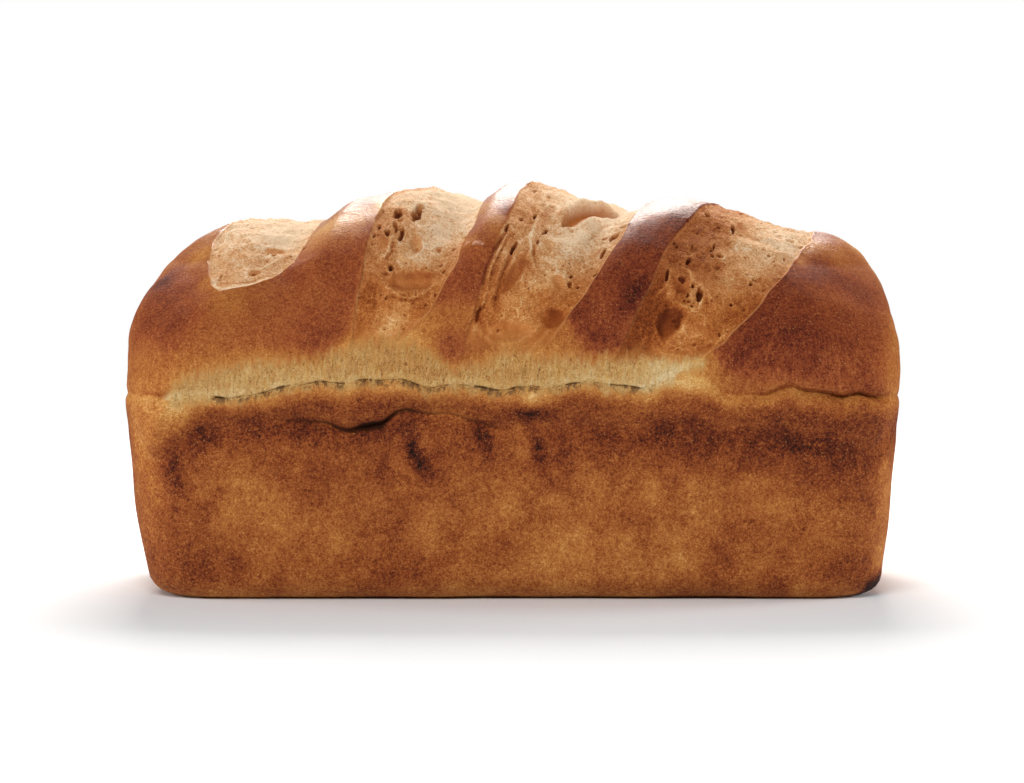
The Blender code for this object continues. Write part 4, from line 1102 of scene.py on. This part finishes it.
# Colours as sRGB values: of the crust by how baked it is, of the crumb by how fresh, and of the shred
BAKE_STOPS = (
    (0, (232, 202, 146)), (0.2, (212, 160, 90)), (0.35, (192, 128, 66)), (0.5, (168, 100, 48)),
    (0.63, (144, 76, 37)), (0.76, (114, 53, 28)), (0.88, (78, 34, 21)), (1, (30, 20, 16)),
)
CRUMB_STOPS = (
    (0, (98, 46, 26)), (0.25, (148, 80, 42)), (0.5, (186, 118, 68)), (0.75, (216, 162, 110)),
    (1, (244, 214, 178)),
)
SHRED_STOPS = (
    (0, (96, 60, 36)), (0.25, (164, 106, 57)), (0.5, (197, 147, 85)), (0.75, (215, 178, 118)),
    (1, (232, 210, 166)),
)
SPECK, FLAKE, CUT_RIM = (208, 146, 92), (222, 170, 140), (222, 160, 100)
# the floors of the deeper pits are painted this dark: painted shade
PIT_FLOOR_SHADE, HOLE_SKIN = (72, 32, 18), (180, 102, 40)
# the torn holes, the gash of the split fold and the crack's narrow and wide gaps are painted dark: painted
# shade in these recesses
TORN_HOLE_SHADE, GASH_SHADE, NARROW_GAP_SHADE, WIDE_GAP_SHADE = (122, 86, 58), (52, 28, 16), (116, 80, 46), (82, 52, 30)
# What the dome's crust, the golden crumb and the browner fibres are multiplied by
DULL_TINT, GOLD_TINT, BROWN_TINT = (1, 0.93, 1.16, 1), (1.02, 0.92, 0.7, 1), (1, 0.88, 0.66, 1)


def crust_material():
    material = bpy.data.materials.new("loaf_crust")
    nodes = Nodes(material)
    times, total, span, mask = nodes.times, nodes.total, nodes.span, nodes.mask
    noise, stretched, mix = nodes.noise, nodes.stretched, nodes.mix
    shader = nodes.tree.nodes["Principled BSDF"]
    metres = nodes.add("TexCoord", {}).outputs["Object"]
    place = nodes.add("VectorMath", {0: metres, "Scale": 1 / MM}, operation="SCALE").outputs[0]
    bake_light_and_shade, dome, gloss, tearing = mask("bake_light_and_shade"), mask("dome"), mask("gloss"), mask("tearing")

    # crust: mottled and granular, with light specks, drawn into streaks towards the tear
    broad = noise(place, 15, 3, 0.6)
    patchy = noise(place, 5, 4, 0.65)
    grain = noise(place, 1.2, 3, 0.7)
    fine = noise(place, 0.5, 2, 0.6)
    streaks = noise(stretched(place, 1, 1, 0.2), 1.3, 3, 0.6)
    granules = span(nodes.cells(place, 1), 0, 0.75, -1, 1)
    baked_light_and_shade = total(
        bake_light_and_shade, times(broad, span(dome, 0, 1, 0.07, 0.04)), times(patchy, span(dome, 0, 1, 0.1, 0.05)),
        times(grain, span(dome, 0, 1, 0.13, 0.09)), times(fine, span(dome, 0, 1, 0.18, 0.15)),
        # the fold mask paints the crust paler on raised folds and darker in creases: painted light and shade
        times(granules, 0.04), times(streaks, tearing, 0.1), times(mask("fold"), -0.5),
        times(grain, span(bake_light_and_shade, 0.7, 0.95), span(dome, 0, 1, 0.06, 0)),
    )
    # the crust's colour carries the painted light and shade kept in the bake mask
    crust = nodes.ramp(baked_light_and_shade, BAKE_STOPS)
    duller = mix(1, crust, DULL_TINT, "MULTIPLY")
    crust = mix(times(dome, span(bake_light_and_shade, 0.48, 0.6)), crust, duller)
    across = nodes.math("ABSOLUTE", nodes.add("SeparateXYZ", {0: place}).outputs["X"])
    near_ends = span(across, 80, 118, 0, 0.5)
    speck = span(nodes.cells(place, 1.2), 0.1, 0.26, 1, 0)
    speck = times(speck, span(total(noise(place, 3), near_ends), -0.3, 0.5))
    crust = mix(times(speck, 0.46), crust, colour(*SPECK))
    flaked = span(total(mask("flake"), times(grain, 0.3)), 0.3, 0.7)
    crust = mix(times(flaked, 0.8), crust, colour(*FLAKE))

    # crumb of the slashes: grained, webbed and drawn into strands, with small open pores
    lumps = noise(place, 4.2, 4, 0.6)
    flow = mask("flow", "Vector")
    strands = noise(stretched(flow, 1, 0.12, 1), 1.2, 2, 0.55)
    pores = span(nodes.cells(place, 2.3), 0.1, 0.2, 1, 0)
    pores = times(pores, span(noise(place, 5), 0.05, 0.45))
    webs = span(nodes.cells(place, 3.4, "DISTANCE_TO_EDGE"), 0.02, 0.08, 1, 0)
    webs = times(webs, span(noise(place, 7), 0, 0.6))
    rough = span(mask("smooth"), 0, 1, 1, 0.35)
    # pits are painted darker in the crumb's tone: painted shade in them
    tone = total(
        mask("fresh_light_and_shade"), times(lumps, 0.13), times(strands, mask("strand"), 0.12), times(mask("pit_shade"), -0.55),
        times(total(times(grain, 0.15), times(fine, 0.22), times(pores, -0.36), times(webs, 0.17)), rough),
    )
    crumb = nodes.ramp(tone, CRUMB_STOPS)
    golden = mix(1, crumb, GOLD_TINT, "MULTIPLY")
    crumb = mix(mask("gold"), crumb, golden)
    # painted shade on the floors of the deeper pits
    crumb = mix(times(span(mask("pit_shade"), 0.7, 1), 0.6), crumb, colour(*PIT_FLOOR_SHADE))
    crumb = mix(mask("hole"), crumb, colour(*HOLE_SKIN))

    # shred of the tear, with upright fibres
    fibres = noise(stretched(place, 1, 1, 0.2), 0.9, 3, 0.65)
    dashes = noise(stretched(place, 1, 1, 0.4), 0.8, 2, 0.7)
    tufts = noise(stretched(place, 1, 1, 0.16), 1.1, 3, 0.65)
    ragged = span(total(mask("shred"), times(tufts, 2.2), times(patchy, 1.2), times(fine, 0.8)), -1, 2.8)
    shade = total(
        mask("pale"), times(fibres, 0.14), times(lumps, 0.11), times(grain, 0.1), times(fine, 0.2),
        times(span(dashes, 0.35, 0.9), -0.36), span(mask("shred"), 0, 4, -0.1, 0),
    )
    fibrous = nodes.ramp(shade, SHRED_STOPS)
    browner = mix(1, fibrous, BROWN_TINT, "MULTIPLY")
    fibrous = mix(span(total(tufts, times(lumps, 0.6)), 0, 0.8, 0, 0.7), fibrous, browner)

    cut = span(total(mask("cut"), times(grain, 0.12)), -0.1, 0.3)
    cut = times(cut, span(total(mask("melt"), times(patchy, 0.3)), 0.1, 0.7))
    surface = mix(cut, crust, crumb)
    rim = nodes.math("ABSOLUTE", total(mask("cut"), -0.35, times(grain, 0.15)))
    rim = times(span(rim, 0.2, 0.5, 1, 0), mask("rim"), mask("melt"))
    surface = mix(times(rim, 0.4), surface, colour(*CUT_RIM))
    surface = mix(ragged, surface, fibrous)

    # the crack's gap is painted dark, darker where it gapes wide: painted shade in the crack
    wobble = total(times(grain, 0.15), times(patchy, 0.2))
    broken = span(noise(stretched(place, 1, 1, 0.3), 2.6), -0.5, 0.3)
    gap = nodes.math("ABSOLUTE", total(mask("crack"), wobble))
    gap = span(total(gap, times(mask("open"), -0.15)), -0.06, 0.14, 1, 0)
    gap = times(gap, span(mask("open"), 0.1, 0.4), nodes.math("MAXIMUM", broken, span(mask("open"), 0.9, 1)))
    # the gash where the fold under the lip is split is painted near black: painted shade in the crevice
    gash_shade = nodes.math("ABSOLUTE", total(mask("split"), times(grain, 0.5)))
    gash_shade = span(nodes.math("SUBTRACT", gash_shade, mask("gash_shade")), -0.3, 0.25, 1, 0)
    gash_shade = times(gash_shade, span(mask("gash_shade"), 0.05, 0.5))
    # torn holes hanging under the crack are painted dark: painted shade in the holes
    hanging = times(span(mask("crack"), -TORN_DROP, -0.4 * TORN_DROP), span(mask("crack"), 0.1, 0.4, 1, 0))
    torn = noise(stretched(place, 1.5, 1, 0.45), TORN_SIZE, 2, 0.6)
    torn = span(total(torn, times(mask("torn"), 0.8)), 0.5, 0.85)
    torn = times(torn, hanging, span(mask("torn"), 0.1, 0.4))
    surface = mix(times(torn, 0.8), surface, colour(*TORN_HOLE_SHADE))
    gap_shade = mix(span(mask("open"), 0.7, 1), colour(*NARROW_GAP_SHADE), colour(*WIDE_GAP_SHADE))
    surface = mix(times(gap, 0.8), surface, gap_shade)
    surface = mix(times(gash_shade, 0.85), surface, colour(*GASH_SHADE))
    nodes.plug(surface, shader.inputs["Base Color"])

    soft = nodes.math("MAXIMUM", nodes.math("MAXIMUM", cut, ragged), nodes.math("SUBTRACT", 1, gloss))
    roughness = total(span(soft, 0, 1, 0.32, 0.8), times(grain, 0.06))
    nodes.plug(roughness, shader.inputs["Roughness"])
    shader.inputs["Metallic"].default_value = 0
    shader.inputs["Specular IOR Level"].default_value = SPECULAR_LEVEL

    wrinkles = noise(stretched(place, 0.4, 1, 1), 0.9, 3, 0.6)
    crust_height = total(times(wrinkles, 0.07), times(grain, 0.06), times(fine, 0.04), times(speck, 0.05))
    crumb_height = total(
        times(total(times(grain, 0.15), times(fine, 0.1), times(pores, -0.35), times(webs, 0.16)), rough),
        times(strands, mask("strand"), 0.15),
    )
    shred_height = total(times(fibres, 0.22), times(dashes, -0.18), times(grain, 0.12), times(fine, 0.08))
    height = nodes.blend(cut, crust_height, crumb_height)
    height = nodes.blend(ragged, height, shred_height)
    height = total(height, times(torn, -0.4), times(gap, -0.4))
    bump = nodes.add("Bump", {"Height": height, "Distance": MM, "Strength": 1})
    nodes.plug(bump.outputs["Normal"], shader.inputs["Normal"])
    return material


def make_loaf():
    mesh = loaf_mesh()
    mesh.materials.append(crust_material())
    loaf = add_object("loaf_crust", mesh)
    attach(loaf, "root")
    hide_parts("loaf")


# ---- floor, light and camera ----


def make_floor():
    """A white floor that fades into the white surroundings, so that no edge or horizon shows."""
    mesh = bpy.data.meshes.new("floor")
    corners = [(x * FLOOR_GONE, y * FLOOR_GONE, 0) for x, y in ((-1, -1), (1, -1), (1, 1), (-1, 1))]
    mesh.from_pydata(corners, [], [(0, 1, 2, 3)])
    material = bpy.data.materials.new("floor")
    nodes = Nodes(material)
    shader = nodes.tree.nodes["Principled BSDF"]
    shader.inputs["Base Color"].default_value = FLOOR_COLOUR
    shader.inputs["Roughness"].default_value = FLOOR_ROUGHNESS
    place = nodes.add("TexCoord", {}).outputs["Object"]
    away = nodes.add("VectorMath", {0: place}, operation="LENGTH").outputs["Value"]
    nodes.plug(nodes.span(away, FLOOR_SOLID, FLOOR_GONE, 1.0, 0.0), shader.inputs["Alpha"])
    mesh.materials.append(material)
    add_object("floor", mesh)


def point_at(thing, place, target):
    toward = [b - a for a, b in zip(place, target)]
    thing.location = place
    flat = math.hypot(toward[0], toward[1])
    thing.rotation_euler = (math.atan2(flat, -toward[2]), 0.0, math.atan2(-toward[0], toward[1]))


def make_light(name, place, size, watts, tint, glossy):
    data = bpy.data.lights.new(name, "AREA")
    data.shape = "RECTANGLE"
    data.size, data.size_y = size
    data.energy = watts
    data.color = tint
    light = add_object(name, data)
    light.visible_glossy = glossy
    point_at(light, place, (0.0, 0.0, AIM_HEIGHT))


def light_scene():
    """White surroundings, bright straight behind the loaf, a soft light behind and above, and soft fill."""
    world = bpy.data.worlds.new("studio")
    bpy.context.scene.world = world
    nodes = Nodes(world)
    lighting = nodes.tree.nodes["Background"]
    toward = nodes.add("TexCoord", {}).outputs["Generated"]
    behind = nodes.add("SeparateXYZ", {0: toward}).outputs["Y"]
    nodes.plug(nodes.span(behind, *BACK_CONE, SIDE_WORLD, BACK_WORLD), lighting.inputs["Strength"])
    lighting.inputs["Color"].default_value = (*WARM, 1.0)
    white = nodes.add("Background", {"Color": (*WHITE, 1.0), "Strength": 1.0}).outputs[0]
    seen = nodes.add("LightPath", {}).outputs["Is Camera Ray"]
    both = nodes.add("MixShader", {0: seen, 1: lighting.outputs[0], 2: white}).outputs[0]
    nodes.plug(both, nodes.tree.nodes["World Output"].inputs["Surface"])
    for light in LIGHTS:
        make_light(*light)
    bpy.context.scene.view_settings.view_transform = "Standard"


def make_camera():
    data = bpy.data.cameras.new("camera")
    data.sensor_width = SENSOR
    data.lens = SENSOR * CAMERA_DISTANCE / VIEW_WIDTH
    camera = add_object("camera", data)
    tilt = math.radians(CAMERA_ELEVATION)
    behind = (0.0, -CAMERA_DISTANCE * math.cos(tilt), AIM_HEIGHT + CAMERA_DISTANCE * math.sin(tilt))
    point_at(camera, behind, (0.0, 0.0, AIM_HEIGHT))
    bpy.context.scene.camera = camera


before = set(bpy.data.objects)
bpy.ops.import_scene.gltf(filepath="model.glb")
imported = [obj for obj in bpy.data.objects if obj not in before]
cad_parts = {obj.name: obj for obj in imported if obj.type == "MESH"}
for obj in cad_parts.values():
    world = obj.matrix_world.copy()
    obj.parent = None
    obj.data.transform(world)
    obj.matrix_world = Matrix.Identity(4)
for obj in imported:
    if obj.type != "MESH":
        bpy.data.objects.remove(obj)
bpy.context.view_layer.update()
make_camera()
make_floor()
light_scene()
make_loaf()
